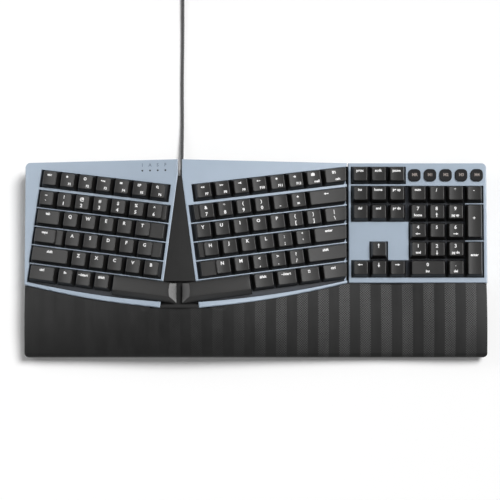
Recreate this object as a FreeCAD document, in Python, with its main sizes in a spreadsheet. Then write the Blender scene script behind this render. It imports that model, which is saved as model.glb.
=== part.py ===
import FreeCAD, Part
import math
import os
import re
import Sketcher
from FreeCAD import Vector

# Ergonomic keyboard: two tented key fields, a flat number pad and a fixed palm rest.
# Frame: X to the right, Y to the rear, Z up, origin on the desk under the middle of the body.
# Lengths are in millimetres and angles in degrees.

os.makedirs("parts", exist_ok=True)
doc = FreeCAD.newDocument("ergonomic_keyboard")

SIZES = {
    # body in plan
    "left_margin": 5.195,
    "seam_span": 170.5,
    "numpad_margin": 3.15,
    "front_y": -99.3,
    "rear_y": 98.9,
    "corner_radius": 5.0,
    # planes of the three top covers
    "seam_height": 19.0,
    "tent_angle": 11.02,
    "rear_tilt": 2.2,
    # top covers
    "cover_thickness": 2.0,
    "cover_depth": 9.0,
    "cover_wall": 2.0,
    "split_wall": 4.0,
    "cover_edge_radius": 1.2,
    "seam_gap": 1.3,
    "notch_half": 2.1,
    "notch_y": 82.3,
    "split_angle": 7.55,
    "left_lip_y": -26.2,
    "right_lip_y": -24.2,
    "numpad_lip_y": -24.0,
    "centre_lip_y": -50.2,
    "lip_radius": 1000.0,
    "lip_width": 3.5,
    "window_rim": 1.4,
    "inner_rim": 2.8,
    "row_web": 1.0,
    "slot_depth": 5.2,
    # key field
    "key_pitch": 19.05,
    "row_angle": 7.7,
    "left_rows_x": -157.2,
    "left_rows_y": -13.4,
    "right_rows_x": -101.1,
    "right_rows_y": -48.3,
    "numpad_rows_x": 71.7,
    "numpad_rows_y": -9.6,
    "function_row_gap": 1.5,
    "nav_row_gap": 0.6,
    "nav_pitch": 18.7,
    "nav_x": -40.3,
    # key caps
    "cap_gap": 1.05,
    "cap_depth": 17.4,
    "cap_height": 7.0,
    "cap_rim": -0.5,
    "cap_wall": 1.3,
    "cap_top_wall": 1.5,
    "cap_side": 2.2,
    "cap_front": 2.9,
    "cap_rear": 1.0,
    "cap_step": 4.4,
    "dish_depth": 0.5,
    "key_travel": 3.5,
    "stem_width": 5.0,
    "stem_depth": 4.0,
    "stem_clearance": 0.3,
    # space bars
    "bar_front": -11.7,
    "bar_rear": 8.7,
    "bar_front_slope": 5.5,
    "bar_crown": 34.0,
    "bar_end_gap": 3.1,
    "bar_end_lean": 43.0,
    "seam_end_gap": 2.4,
    # key deck, dome sheet and membrane circuit under each cover
    "deck_drop": 4.5,
    "deck_thickness": 3.2,
    "deck_margin": 0.4,
    "chimney_wall": 1.4,
    "chimney_top": 1.0,
    "dome_thickness": 0.9,
    "membrane_thickness": 0.4,
    "sheet_margin": 1.0,
    # centre cover between the two halves
    "centre_drop": 0.8,
    "centre_clearance": 0.3,
    "centre_lip_depth": 3.2,
    "centre_pocket_y": -23.5,
    # bottom case
    "foot_height": 2.0,
    "floor_thickness": 2.5,
    "case_wall": 2.5,
    "case_inset": 2.2,
    "rib_thickness": 2.0,
    "cable_slot_half": 6.0,
    "cable_slot_y": 64.0,
    "palm_parting": 8.0,
    # palm rest
    "palm_inset": 0.8,
    "palm_back_y": -15.0,
    "palm_step": 1.0,
    "palm_wall": 2.5,
    "palm_side_height": 15.0,
    "palm_front_rise": 0.25,
    "palm_nose": 6.0,
    "palm_gap": 0.4,
    "palm_bulge": 8.0,
    # macro buttons and indicator lights
    "button_x": 68.4,
    "button_y": 86.4,
    "button_pitch": 15.93,
    "button_width": 12.4,
    "button_radius": 4.8,
    "button_proud": 2.0,
    "button_flange": 1.0,
    "button_travel": 1.0,
    "button_clearance": 0.25,
    "light_x": -38.7,
    "light_y": 88.0,
    "light_pitch": 7.95,
    "light_radius": 0.9,
    # tilt feet, rubber feet and screws
    "tilt_width": 34.0,
    "tilt_length": 24.0,
    "tilt_thickness": 4.0,
    "tilt_inset": 64.0,
    "tilt_hinge_y": 88.0,
    "tilt_pin_radius": 1.5,
    "tilt_pin_clearance": 0.06,
    "tilt_clearance": 0.4,
    "pad_length": 34.0,
    "pad_width": 9.0,
    "pad_inset": 24.0,
    "pad_rear_y": 80.0,
    "pad_front_y": -88.0,
    "screw_front_inset": 31.0,
    "screw_front_y": -72.0,
    "screw_rear_inset": 20.0,
    "screw_rear_y": 62.0,
    "screw_middle_x": 20.0,
    "screw_head_radius": 2.8,
    "screw_head_height": 1.2,
    "screw_shank_radius": 1.3,
    "screw_length": 6.5,
    "post_radius": 4.0,
    # controller board
    "board_width": 52.0,
    "board_depth": 26.0,
    "board_thickness": 1.6,
    "board_height": 8.0,
    "board_x": 30.0,
    "board_y": 16.0,
    # cable
    "cable_diameter": 3.2,
    "cable_exit_height": 7.8,
    "relief_length": 14.0,
    "relief_radius": 3.0,
    "relief_neck": 2.2,
    "coil_y": 318.0,
    "coil_gap": 0.6,
    "coil_inner_radius": 13.2,
    "coil_lift": 1.1,
    "tie_width": 7.0,
    "tie_thickness": 0.9,
    "tie_clearance": 0.6,
    "plug_width": 15.6,
    "plug_height": 8.0,
    "plug_length": 24.0,
    "plug_radius": 2.0,
    "shell_width": 12.0,
    "shell_height": 4.5,
    "shell_length": 18.0,
    "shell_wall": 0.4,
}

# Places that follow from the key layout: the covers end a margin beyond the outermost keys.
DERIVED = {
    "left_reach": "(left_margin - left_rows_x) * cos(tent_angle)",
    "numpad_reach": "numpad_rows_x + 3.53 * key_pitch + numpad_margin",
    "case_width": "left_reach + seam_span + numpad_reach",
    "ridge_x": "left_reach - case_width / 2",
    "seam_x": "ridge_x + seam_span",
    "tilt_x": "case_width / 2 - tilt_inset",
    "pad_x": "case_width / 2 - pad_inset",
}

sizes = doc.addObject("Spreadsheet::Sheet", "sizes")
for row, (alias, number) in enumerate(SIZES.items(), start=1):
    sizes.set(f"A{row}", str(number))
    sizes.setAlias(f"A{row}", alias)
for row, (alias, rule) in enumerate(DERIVED.items(), start=1):
    sizes.set(f"B{row}", "=" + rule)
    sizes.setAlias(f"B{row}", alias)
doc.recompute()

parts = {}


def cells(text):
    """Write the size names in an expression as references to the sheet."""
    named = {**SIZES, **DERIVED}
    return re.sub(r"[a-z][a-z_]+", lambda word: "sizes." + word[0] if word[0] in named else word[0], text)


def value(text):
    return float(sizes.evalExpression(cells(text)))


def bind(piece, **rules):
    for name, text in rules.items():
        piece.setExpression(name, cells(text))
    return piece


def at(x="0", y="0", z="0", axis="0; 0; 1", angle="0", frame=None):
    """Expression of a placement, in the frame named or in the keyboard's own."""
    inside = f"placement(vector({x}; {y}; {z}); rotation(vector({axis}); {angle}))"
    return f"{frame}.Placement * {inside}" if frame else inside


def keep(node, piece):
    piece.Label = node
    parts[node] = piece
    return piece


def box(name, length, width, height, place):
    piece = doc.addObject("Part::Box", name)
    return bind(piece, Length=length, Width=width, Height=height, Placement=place)


def cylinder(name, radius, height, place):
    piece = doc.addObject("Part::Cylinder", name)
    return bind(piece, Radius=radius, Height=height, Placement=place)


def cut(name, base, tool):
    piece = doc.addObject("Part::Cut", name)
    piece.Base = base
    piece.Tool = tool
    return piece


def common(name, first, second):
    piece = doc.addObject("Part::Common", name)
    piece.Base = first
    piece.Tool = second
    return piece


def fuse(name, shapes):
    piece = doc.addObject("Part::MultiFuse", name)
    piece.Shapes = shapes
    piece.Refine = False
    return piece


def group(name, links):
    piece = doc.addObject("Part::Compound", name)
    piece.Links = links
    return piece


def link(name, template, place):
    piece = doc.addObject("App::Link", name)
    piece.LinkedObject = template
    piece.LinkTransform = True
    return bind(piece, Placement=place)


def draw(sketch, points, arcs=None):
    """Close a sketch through points given as expressions. arcs holds, for an edge, its radius and
    the side of its centre: 1 on the left of the way along the edge, -1 on the right."""
    arcs = arcs or {}
    corners = [Vector(value(x), value(y), 0) for x, y in points]
    ends = []
    for index, start in enumerate(corners):
        stop = corners[(index + 1) % len(corners)]
        if index not in arcs:
            sketch.addGeometry(Part.LineSegment(start, stop))
            ends.append((1, 2))
            continue
        radius, side = value(arcs[index][0]), arcs[index][1]
        half = (stop - start) / 2
        across = Vector(-half.y, half.x, 0).normalize() * side
        centre = start + half + across * math.sqrt(radius ** 2 - half.Length ** 2)
        first, last = (start, stop) if side > 0 else (stop, start)
        angles = [math.atan2(p.y - centre.y, p.x - centre.x) for p in (first, last)]
        sketch.addGeometry(Part.ArcOfCircle(Part.Circle(centre, Vector(0, 0, 1), radius), *angles))
        ends.append((1, 2) if side > 0 else (2, 1))
    count = len(corners)
    for index in range(count):
        after = (index + 1) % count
        sketch.addConstraint(Sketcher.Constraint("Coincident", index, ends[index][1], after, ends[after][0]))
    for index, (x, y) in enumerate(points):
        for kind, text, number in (("DistanceX", x, corners[index].x), ("DistanceY", y, corners[index].y)):
            rule = sketch.addConstraint(Sketcher.Constraint(kind, -1, 1, index, ends[index][0], number))
            sketch.setExpression(f"Constraints[{rule}]", cells(text))
    for index, (radius, side) in arcs.items():
        rule = sketch.addConstraint(Sketcher.Constraint("Radius", index, value(radius)))
        sketch.setExpression(f"Constraints[{rule}]", cells(radius))
    return sketch


def prism(name, points, height, place, arcs=None, backwards=False):
    """Extrude an outline along its own normal."""
    sketch = doc.addObject("Sketcher::SketchObject", name + "_outline")
    bind(sketch, Placement=place)
    draw(sketch, points, arcs)
    piece = doc.addObject("Part::Extrusion", name)
    piece.Base = sketch
    piece.DirMode = "Normal"
    piece.Solid = True
    piece.Reversed = backwards
    return bind(piece, LengthFwd=height)


def body(name, place):
    piece = doc.addObject("PartDesign::Body", name)
    return bind(piece, Placement=place)


def body_sketch(owner, name, plane, points, arcs=None, lift="0"):
    sketch = owner.newObject("Sketcher::SketchObject", name)
    face = [part for part in owner.Origin.OriginFeatures if part.Role == plane][0]
    sketch.AttachmentSupport = [(face, "")]
    sketch.MapMode = "FlatFace"
    sketch.setExpression("AttachmentOffset.Base.z", cells(lift))
    return draw(sketch, points, arcs)


def pad(owner, name, sketch, length, backwards=False):
    feature = owner.newObject("PartDesign::Pad", name)
    feature.Profile = sketch
    feature.Reversed = backwards
    return bind(feature, Length=length)


def pocket(owner, name, sketch, length, backwards=False):
    feature = owner.newObject("PartDesign::Pocket", name)
    feature.Profile = sketch
    feature.Reversed = backwards
    return bind(feature, Length=length)


# Frames. The deck is the body's upper side, tilted up to the rear about the seam's height. Each
# cover has a plane of its own on it, and the key rows are turned in that plane.

RISE = "(seam_x - ridge_x) * tan(tent_angle)"
frames = {
    "deck": at(z="seam_height", axis="1; 0; 0", angle="rear_tilt"),
    "left_plane": at("ridge_x", "0", RISE, "0; 1; 0", "-tent_angle", "deck"),
    "right_plane": at("ridge_x", "0", RISE, "0; 1; 0", "tent_angle", "deck"),
    "numpad_plane": at("seam_x", frame="deck"),
    "left_rows": at("left_rows_x", "left_rows_y", "0", "0; 0; 1", "-row_angle", "left_plane"),
    "right_rows": at("right_rows_x", "right_rows_y", "0", "0; 0; 1", "row_angle", "right_plane"),
    "numpad_rows": at("numpad_rows_x", "numpad_rows_y", frame="numpad_plane"),
}
for name, place in frames.items():
    bind(doc.addObject("Part::LocalCoordinateSystem", name), Placement=place)
doc.recompute()


# Outlines of the three covers, drawn in their own planes and moved inwards by the margins given.

INNER_SLOPE = "tan(split_angle)"


def cover_outline(side, outer="0", front="0", inner="0", rear="0"):
    if side == "numpad":
        left = f"seam_gap / 2 + ({inner})"
        right = f"case_width / 2 - seam_x - ({outer})"
        low = f"numpad_lip_y + ({front})"
        high = f"rear_y - ({rear})"
        points = [(left, low), (right, low), (right, f"{high} - corner_radius"),
                  (f"{right} - corner_radius", high), (left, high)]
        return points, {2: ("corner_radius", 1)}
    sign = "-1" if side == "left" else "1"
    edge = "case_width / 2 + ridge_x" if side == "left" else "seam_x - seam_gap / 2 - ridge_x"
    outer_x = f"{sign} * (({edge}) / cos(tent_angle) - ({outer}))"
    lip_y = f"{side}_lip_y + ({front})"
    middle_y = f"centre_lip_y + ({front})"
    front_half = f"((notch_half + (notch_y - ({middle_y})) * {INNER_SLOPE}) / cos(tent_angle) + ({inner}))"
    notch_x = f"{sign} * (notch_half / cos(tent_angle) + ({inner}))"
    high = f"rear_y - ({rear})"
    lower_y = f"notch_y - ({inner}) / 2"
    if side == "right":
        points = [(f"{front_half}", middle_y), (outer_x, lip_y), (outer_x, high), (notch_x, high),
                  (notch_x, lower_y)]
        return points, {0: ("lip_radius", 1)}
    points = [(outer_x, lip_y), (f"-1 * {front_half}", middle_y), (notch_x, lower_y), (notch_x, high),
              (f"{outer_x} + corner_radius", high), (outer_x, f"{high} - corner_radius")]
    return points, {0: ("lip_radius", 1), 4: ("corner_radius", 1)}


def slab(name, side, drop, thickness, **margins):
    """A flat sheet under one cover, its top at drop below the cover's plane."""
    points, arcs = cover_outline(side, **margins)
    return prism(name, points, thickness, at(z=f"-({drop})", frame=side + "_plane"), arcs, backwards=True)


# Key layout: cells in key pitches from the left end of a block, rows from the space bar up. A
# plain cell is (left, right). A stepped one adds the left and right of its raised part.

SEAM = 99


def run(first, count):
    return [(first + step, first + step + 1) for step in range(count)]


LAYOUT = {
    "escape_key": ("left", 5, [(0.03, 1.03)]),
    "left_function_keys": ("left", 5, run(1.03, 6)),
    "left_number_keys": ("left", 4, run(0, 6) + [(6, 7.18, 6, 7)]),
    "tab_key": ("left", 3, [(0, 1.48)]),
    "left_upper_letter_keys": ("left", 3, run(1.48, 4) + [(5.48, 7.18, 5.48, 6.48)]),
    "caps_lock_key": ("left", 2, [(0, 1.74, 0, 1.4)]),
    "left_home_keys": ("left", 2, run(1.74, 4) + [(5.74, 7.18, 5.74, 6.74)]),
    "left_shift_key": ("left", 1, [(0, 2.23)]),
    "left_lower_letter_keys": ("left", 1, run(2.23, 5)),
    "left_modifier_keys": ("left", 0, [(0.04, 1.62), (1.62, 2.63), (2.63, 3.64), (3.64, 4.65)]),
    "right_function_keys": ("right", 5, run(6.8, 7) + [(13.8, SEAM)]),
    "right_number_keys": ("right", 4, [(6.58, 7.81, 6.81, 7.81)] + run(7.81, 5)),
    "backspace_key": ("right", 4, [(12.81, SEAM)]),
    "right_upper_letter_keys": ("right", 3, run(6.52, 7) + [(13.52, SEAM)]),
    "right_home_keys": ("right", 2, [(6.56, 7.79, 6.79, 7.79)] + run(7.79, 5)),
    "enter_key": ("right", 2, [(12.79, SEAM)]),
    "right_lower_letter_keys": ("right", 1, [(6.55, 8.3, 7.3, 8.3)] + run(8.3, 4)),
    "right_shift_key": ("right", 1, [(12.3, SEAM)]),
    "right_modifier_keys": ("right", 0, [(9.24, 10.49), (10.49, 11.75), (11.75, 13.01), (13.01, SEAM)]),
    "numpad_top_keys": ("numpad", 4, run(-0.5, 4)),
    "numpad_digit_keys": ("numpad", (3, 2, 1), run(-0.5, 3)),
    "numpad_plus_key": ("numpad", 2.5, [(2.5, 3.5)]),
    "numpad_enter_key": ("numpad", 0.5, [(2.5, 3.5)]),
    "numpad_zero_key": ("numpad", 0, [(-0.5, 1.5)]),
    "numpad_point_key": ("numpad", 0, [(1.5, 2.5)]),
}


def row_y(side, row):
    """Height of a row's middle line in its block: the function row stands a little apart."""
    extra = {"left": "function_row_gap", "right": "function_row_gap", "numpad": "nav_row_gap"}[side]
    return f"{row} * key_pitch + {extra}" if row == 5 else f"{row} * key_pitch"


# Right end of the right block's rows, which stops square to the seam, in the rows' own frame.

def seam_cell(row):
    edge = "(seam_x - seam_gap / 2 - ridge_x) / cos(tent_angle) - seam_end_gap - right_rows_x"
    return f"(({edge}) + ({row_y('right', row)}) * sin(row_angle)) / cos(row_angle)"


# Key caps. A cap is a tapered shell with a hollow and a dished top, and a square stem that runs in
# the deck's chimney. Its origin is in the middle of its rim.

def wedge(name, left, right, front, rear, bottom, top, side, fore, aft):
    piece = doc.addObject("Part::Wedge", name)
    bind(piece, Xmin=left, Xmax=right, X2min=f"{left} + {side}", X2max=f"{right} - ({side})")
    bind(piece, Ymin=bottom, Ymax=top, Zmin=f"-({rear})", Zmax=f"-({front})")
    bind(piece, Z2min=f"-({rear}) + {aft}", Z2max=f"-({front}) - ({fore})")
    return bind(piece, Placement=at(axis="1; 0; 0", angle="90"))


def cap_shell(name, left, right, front, rear, top, fore="cap_front", aft="cap_rear"):
    """Outside and hollow of one raised part of a cap, as a pair."""
    share = f"({top} - cap_top_wall) / cap_height"
    scale = f"({top} / cap_height)"
    outside = wedge(name + "_outside", left, right, front, rear, "0", top,
                    f"cap_side * {scale}", f"{fore} * {scale}", f"{aft} * {scale}")
    hollow = wedge(name + "_hollow", f"{left} + cap_wall", f"{right} - cap_wall", f"{front} + cap_wall",
                   f"{rear} - cap_wall", "0", f"{top} - cap_top_wall",
                   f"cap_side * ({share})", f"({fore}) * ({share})", f"({aft}) * ({share})")
    return outside, hollow


def trim(name, pair, place, lean="0", wall="cap_wall", toward=1):
    """Cut a cap's outside, and its hollow one wall further in, past a slanting end."""
    reach = "200"
    results = []
    for shape, shift in zip(pair, ("0", wall)):
        corner = f"-({shift})" if toward > 0 else f"{shift} - {reach}"
        tool = box(f"{name}_{shape.Name}", reach, "80", "80", place + " * "
                   + at(axis="0; 1; 0", angle=lean) + " * " + at(corner, "-40", "-40"))
        results.append(cut(f"{name}_{shape.Name}_cut", shape, tool))
    return results


def finish_cap(name, outsides, hollows, stem_x, dish):
    """Fuse what is raised, hollow it, dish it and add the stem."""
    outside = fuse(name + "_raised", outsides) if len(outsides) > 1 else outsides[0]
    hollow = fuse(name + "_hollows", hollows) if len(hollows) > 1 else hollows[0]
    shell = cut(name + "_shell", outside, hollow)
    topped = cut(name + "_topped", shell, dish) if dish else shell
    stem = box(name + "_stem", "stem_width", "stem_depth", "key_travel + cap_height - cap_top_wall + 0.3",
               at(f"{stem_x} - stem_width / 2", "-stem_depth / 2", "-key_travel"))
    return fuse(name + "_cap", [topped, stem])


def dish(name, middle, width, length):
    """Shallow cylinder along the cap, as wide as the top face."""
    radius = f"(({width}) / 2 - cap_side) ^ 2 / (2 * dish_depth) + dish_depth / 2"
    return cylinder(name + "_dish", radius, length,
                    at(middle, f"({length}) / 2", f"cap_height - dish_depth + ({radius})", "1; 0; 0", "90"))


templates = {}


def key_cap(cell, rows=1, pitch="key_pitch"):
    """Template of a cap for a cell, made once for each size. Its origin is at its raised part."""
    left, right = cell[0], cell[1]
    raised = cell[2:] or (left, right)
    middle = (raised[0] + raised[1]) / 2
    shape = (round(left - middle, 3), round(right - middle, 3), round(raised[1] - raised[0], 3), rows, pitch)
    if shape not in templates:
        name = f"cap{len(templates)}"
        half = f"({shape[2]} * {pitch} - cap_gap) / 2"
        deep = f"(cap_depth / 2 + ({rows} - 1) * key_pitch / 2)"
        pairs = [cap_shell(name + "_main", f"-({half})", half, f"-{deep}", deep, "cap_height")]
        if len(cell) > 2:
            pairs.append(cap_shell(name + "_low", f"{shape[0]} * {pitch} + cap_gap / 2",
                                   f"{shape[1]} * {pitch} - cap_gap / 2", f"-{deep}", deep, "cap_step"))
        bowl = dish(name, "0", f"{shape[2]} * {pitch} - cap_gap", f"2 * {deep}")
        templates[shape] = finish_cap(name, [p[0] for p in pairs], [p[1] for p in pairs], "0", bowl)
    return templates[shape], middle


def seam_cap(name, left, row):
    """Cap of the last cell of a row: its right end is square to the seam, not to the row."""
    end = seam_cell(row)
    right = f"{end} + 3"
    centre = f"({left} * key_pitch + ({end})) / 2"
    pair = cap_shell(name, f"{left} * key_pitch + cap_gap / 2 - ({centre})", f"{right} - ({centre})",
                     "-cap_depth / 2", "cap_depth / 2", "cap_height")
    place = at(f"{end} - ({centre})", angle="-row_angle")
    outside, hollow = trim(name + "_end", pair, place)
    bowl = dish(name, "0", f"{end} - {left} * key_pitch - cap_gap", "cap_depth + 2")
    return finish_cap(name, [outside], [hollow], "0", bowl), centre


chimneys = {"left": [], "right": [], "numpad": []}
chimney = box("chimney", "stem_width + 2 * (stem_clearance + chimney_wall)",
              "stem_depth + 2 * (stem_clearance + chimney_wall)", "deck_drop + chimney_top",
              at("-stem_width / 2 - stem_clearance - chimney_wall",
                 "-stem_depth / 2 - stem_clearance - chimney_wall", "-deck_drop"))
bore = box("chimney_bore", "stem_width + 2 * stem_clearance", "stem_depth + 2 * stem_clearance", "30",
           at("-stem_width / 2 - stem_clearance", "-stem_depth / 2 - stem_clearance", "-15"))


def place_key(node, side, cap, x, y):
    """Stand a cap in its block, and keep the place of its chimney."""
    chimneys[side].append((x, y))
    return link(f"{node}_{len(chimneys[side])}", cap, at(x, y, "cap_rim", frame=side + "_rows"))


for node, (side, rows, row_cells) in LAYOUT.items():
    caps = []
    for row in rows if isinstance(rows, tuple) else (rows,):
        for cell in row_cells:
            if cell[1] == SEAM:
                cap, x = seam_cap(node + "_last", cell[0], row)
            else:
                cap, middle = key_cap(cell, 2 if row % 1 else 1)
                x = f"{middle} * key_pitch"
            caps.append(place_key(node, side, cap, x, row_y(side, row)))
    keep(node, group(node, caps) if len(caps) > 1 else caps[0])

NAV_KEYS = {
    "nav_function_keys": [(0, 5), (1, 5), (2, 5)],
    "nav_edit_keys": [(0, 4), (1, 4), (2, 4), (0, 3), (1, 3), (2, 3)],
    "arrow_keys": [(0, 0), (1, 0), (2, 0), (1, 1)],
}
for node, spots in NAV_KEYS.items():
    caps = []
    for column, row in spots:
        cap, middle = key_cap((0, 1), pitch="nav_pitch")
        x = f"nav_x + ({column} - 1) * nav_pitch"
        caps.append(place_key(node, "numpad", cap, x, row_y("numpad", row)))
    keep(node, group(node, caps))


# Space bars. Each is crowned along its length, with a sloping front, and its inner end leans back
# from the gap between the two halves.

def space_bar(node, side, left, right, stem, toward):
    centre = f"{stem} * key_pitch"
    x0 = f"{left} * key_pitch + cap_gap / 2 - {centre}"
    x1 = f"{right} * key_pitch - cap_gap / 2 - {centre}"
    pair = cap_shell(node, x0, x1, "bar_front", "bar_rear", "cap_height", fore="bar_front_slope")
    sign = "-1" if side == "left" else "1"
    end = f"({sign} * bar_end_gap - {side}_rows_x) / cos(row_angle) - {centre}"
    place = at(end, angle="row_angle" if side == "left" else "-row_angle")
    lean = "-bar_end_lean" if toward > 0 else "bar_end_lean"
    outside, hollow = trim(node + "_end", pair, place, lean, "cap_wall * 1.6", toward)
    length = f"({right} - {left}) * key_pitch"
    crown = cylinder(node + "_crown", "bar_crown", length,
                     at(x0, "(bar_rear + bar_front) / 4", "cap_height - bar_crown", "0; 1; 0", "90"))
    crowned = common(node + "_crowned", outside, crown)
    cap = finish_cap(node, [crowned], [hollow], "0", None)
    keep(node, place_key(node, side, cap, centre, "0"))


space_bar("left_space_bar", "left", 4.65, 9.2, 6.1, 1)
space_bar("right_space_bar", "right", 4.6, 9.24, 7.3, -1)


# Windows: the slots in the covers that the rows of caps stand in, as (left, right, lowest row,
# highest row) in the rows' frame. Thin webs are left between the rows.

WINDOWS = {
    "left": [(-0.1, 7.1, 5, 5), (-0.1, 7.6, 4, 4), (-0.1, 7.6, 3, 3), (-0.1, 7.6, 2, 2), (-0.1, 7.6, 1, 1)],
    "right": [(6.73, 16, 5, 5), (6.2, 16, 4, 4), (6.2, 16, 3, 3), (6.2, 16, 2, 2), (6.2, 16, 1, 1)],
    "numpad": [(-0.64, 2.53, 3, 4), (-0.52, 2.53, 0, 3), (-0.64, 2.53, 0, 0), (2.5, 3.53, 4, 4),
               (2.52, 3.53, 2, 3), (2.52, 3.53, 0, 1)],
}


def window(name, side, left, right, low, high):
    tall = f"({high} - {low} + 1) * key_pitch - row_web"
    bottom = f"{row_y(side, low)} - (key_pitch - row_web) / 2"
    return box(name, f"({right}) - ({left})", tall, "slot_depth + 3",
               at(left, bottom, "-slot_depth", frame=side + "_rows"))


def window_limit(name, side, inner):
    # at the seam the right cover's slots are open, and only the ends of the webs reach the edge
    outer = "-3" if side == "right" else "window_rim"
    points, arcs = cover_outline(side, outer=outer, front="lip_width", inner=inner, rear="window_rim")
    return prism(name, points, "slot_depth + 3", at(z="3", frame=side + "_plane"), arcs, backwards=True)


def windows_of(side):
    tools = []
    for index, (left, right, low, high) in enumerate(WINDOWS[side]):
        tools.append(window(f"{side}_window{index}", side, f"{left} * key_pitch", f"{right} * key_pitch",
                            low, high))
    if side == "numpad":
        half = "(1.5 * nav_pitch + 0.2)"
        for low, high in ((5, 5), (3, 4), (0, 0)):
            tools.append(window(f"nav_window{low}", side, f"nav_x - {half}", f"nav_x + {half}", low, high))
        half = "(nav_pitch / 2 + 0.2)"
        tools.append(window("up_window", side, f"nav_x - {half}", f"nav_x + {half}", 0, 1))
    limit = window_limit(side + "_window_limit", side, "window_rim" if side == "numpad" else "inner_rim")
    openings = [common(side + "_openings", fuse(side + "_windows", tools), limit)]
    if side != "numpad":
        # the lowest slot runs on to the lip in front and past the cover's inner edge
        left, right = ("-0.06", "12") if side == "left" else ("1", "16")
        slot = box(f"{side}_bar_window", f"({right} - {left}) * key_pitch", "30 + (key_pitch - row_web) / 2",
                   "slot_depth + 3", at(f"{left} * key_pitch", "-30", "-slot_depth", frame=side + "_rows"))
        openings.append(common(side + "_bar_opening", slot, window_limit(side + "_bar_limit", side, "-40")))
    return openings


def top_edges(shape):
    """Names of the edges round a cover's top face, which lies in its own plane."""
    return [f"Edge{number}" for number, edge in enumerate(shape.Edges, start=1)
            if all(abs(corner.Point.z) < 1e-4 for corner in edge.Vertexes)]


def inner_wall(side):
    """The walls beside the split are thicker, because their outer faces are cut upright."""
    return "cover_wall" if side == "numpad" else "split_wall"


def top_cover(side, extra_tools):
    """A thin cover with a skirt all round, rounded along its upper edge."""
    owner = body(side + "_cover_body", f"{side}_plane.Placement")
    points, arcs = cover_outline(side)
    pad(owner, side + "_cover_pad", body_sketch(owner, side + "_cover_edge", "XY_Plane", points, arcs),
        "cover_depth", backwards=True)
    wall = "cover_wall"
    points, arcs = cover_outline(side, outer=wall, front=wall, inner=inner_wall(side), rear=wall)
    hollow = body_sketch(owner, side + "_cover_inside", "XY_Plane", points, arcs, lift="-cover_thickness")
    shell = pocket(owner, side + "_cover_hollow", hollow, "cover_depth")
    doc.recompute()
    rounding = owner.newObject("PartDesign::Fillet", side + "_cover_rounding")
    rounding.Base = (shell, top_edges(shell.Shape))
    bind(rounding, Radius="cover_edge_radius")
    owner.Tip = rounding
    openings = fuse(side + "_cover_cuts", windows_of(side) + extra_tools)
    return keep(side + "_top_cover", cut(side + "_top_cover", owner, openings))


def key_deck(side, extra=None):
    """Stiff deck with a chimney under each cap."""
    edge = "cover_wall + deck_margin"
    plate = slab(side + "_deck_plate", side, "deck_drop", "deck_thickness", outer=edge, front=edge,
                 inner=inner_wall(side) + " + deck_margin", rear=edge)
    towers = [link(f"{side}_chimney{index}", chimney, at(x, y, frame=side + "_rows"))
              for index, (x, y) in enumerate(chimneys[side])]
    holes = [link(f"{side}_bore{index}", bore, at(x, y, frame=side + "_rows"))
             for index, (x, y) in enumerate(chimneys[side])]
    whole = fuse(side + "_deck_whole", [plate] + towers)
    return keep(side + "_key_deck", cut(side + "_key_deck", whole, group(side + "_bores", holes)))


# Macro buttons, in a row over the number pad, and the light pipes of the four indicators.

def squircle(half, radius):
    low, high = f"-({half})", half
    inner_low, inner_high = f"-({half}) + {radius}", f"{half} - {radius}"
    points = [(inner_low, low), (inner_high, low), (high, inner_low), (high, inner_high),
              (inner_high, high), (inner_low, high), (low, inner_high), (low, inner_low)]
    return points, {1: (radius, 1), 3: (radius, 1), 5: (radius, 1), 7: (radius, 1)}


button_holes = []
for number in range(1, 6):
    spot = f"button_x + {number - 1} * button_pitch"
    node = f"macro_button_{number}"
    owner = body(node, at(spot, "button_y", frame="numpad_plane"))
    points, arcs = squircle("button_width / 2", "button_radius")
    stem = body_sketch(owner, node + "_face", "XY_Plane", points, arcs, lift="button_proud")
    pad(owner, node + "_pad", stem, "button_proud + cover_thickness + 0.3 + button_flange", backwards=True)
    points, arcs = squircle("button_width / 2 + 1", "button_radius + 1")
    flange = body_sketch(owner, node + "_rim", "XY_Plane", points, arcs, lift="-cover_thickness - 0.3")
    pad(owner, node + "_flange", flange, "button_flange", backwards=True)
    keep(node, owner)
    points, arcs = squircle("button_width / 2 + button_clearance", "button_radius + button_clearance")
    button_holes.append(prism(node + "_hole", points, "cover_thickness + 4",
                              at(spot, "button_y", "2", frame="numpad_plane"), arcs, backwards=True))

pipes, light_holes = [], []
for number in range(4):
    spot = f"light_x + {number} * light_pitch"
    pipes.append(cylinder(f"light_pipe{number}", "light_radius", "cover_thickness + 0.4",
                          at(spot, "light_y", "-cover_thickness - 0.4", frame="left_plane")))
    light_holes.append(cylinder(f"light_hole{number}", "light_radius + 0.1", "cover_thickness + 4",
                                at(spot, "light_y", "-cover_thickness - 2", frame="left_plane")))
light_bar = box("light_bar", "3 * light_pitch + 6", "4", "1.6",
                at("light_x - 3", "light_y - 2", "-cover_thickness - 1.6", frame="left_plane"))
keep("indicator_light_guide", fuse("indicator_light_guide", [light_bar] + pipes))



def split_outline(clearance, front):
    """The wedge between the two halves in plan, from a place at the lip back to the notch."""
    narrow = f"(notch_half - {clearance})"
    wide = f"({narrow} + (notch_y - ({front})) * {INNER_SLOPE})"
    return [(f"ridge_x - {wide}", front), (f"ridge_x + {wide}", front),
            (f"ridge_x + {narrow}", "notch_y"), (f"ridge_x - {narrow}", "notch_y")]


def split_prism(name, points):
    return prism(name, points, "80", at(z="-20", frame="deck"))


# the covers' sides along the wedge and the notch behind it are upright
wedge_points = split_outline("0", "centre_lip_y - 5")
notch_points = [("ridge_x + notch_half", "rear_y + 5"), ("ridge_x - notch_half", "rear_y + 5")]
split_points = wedge_points[:3] + notch_points + wedge_points[3:]
top_cover("left", light_holes + [split_prism("left_split_cut", split_points)])
top_cover("right", [split_prism("right_split_cut", split_points)])
top_cover("numpad", button_holes)
for side in ("left", "right", "numpad"):
    key_deck(side)

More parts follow.
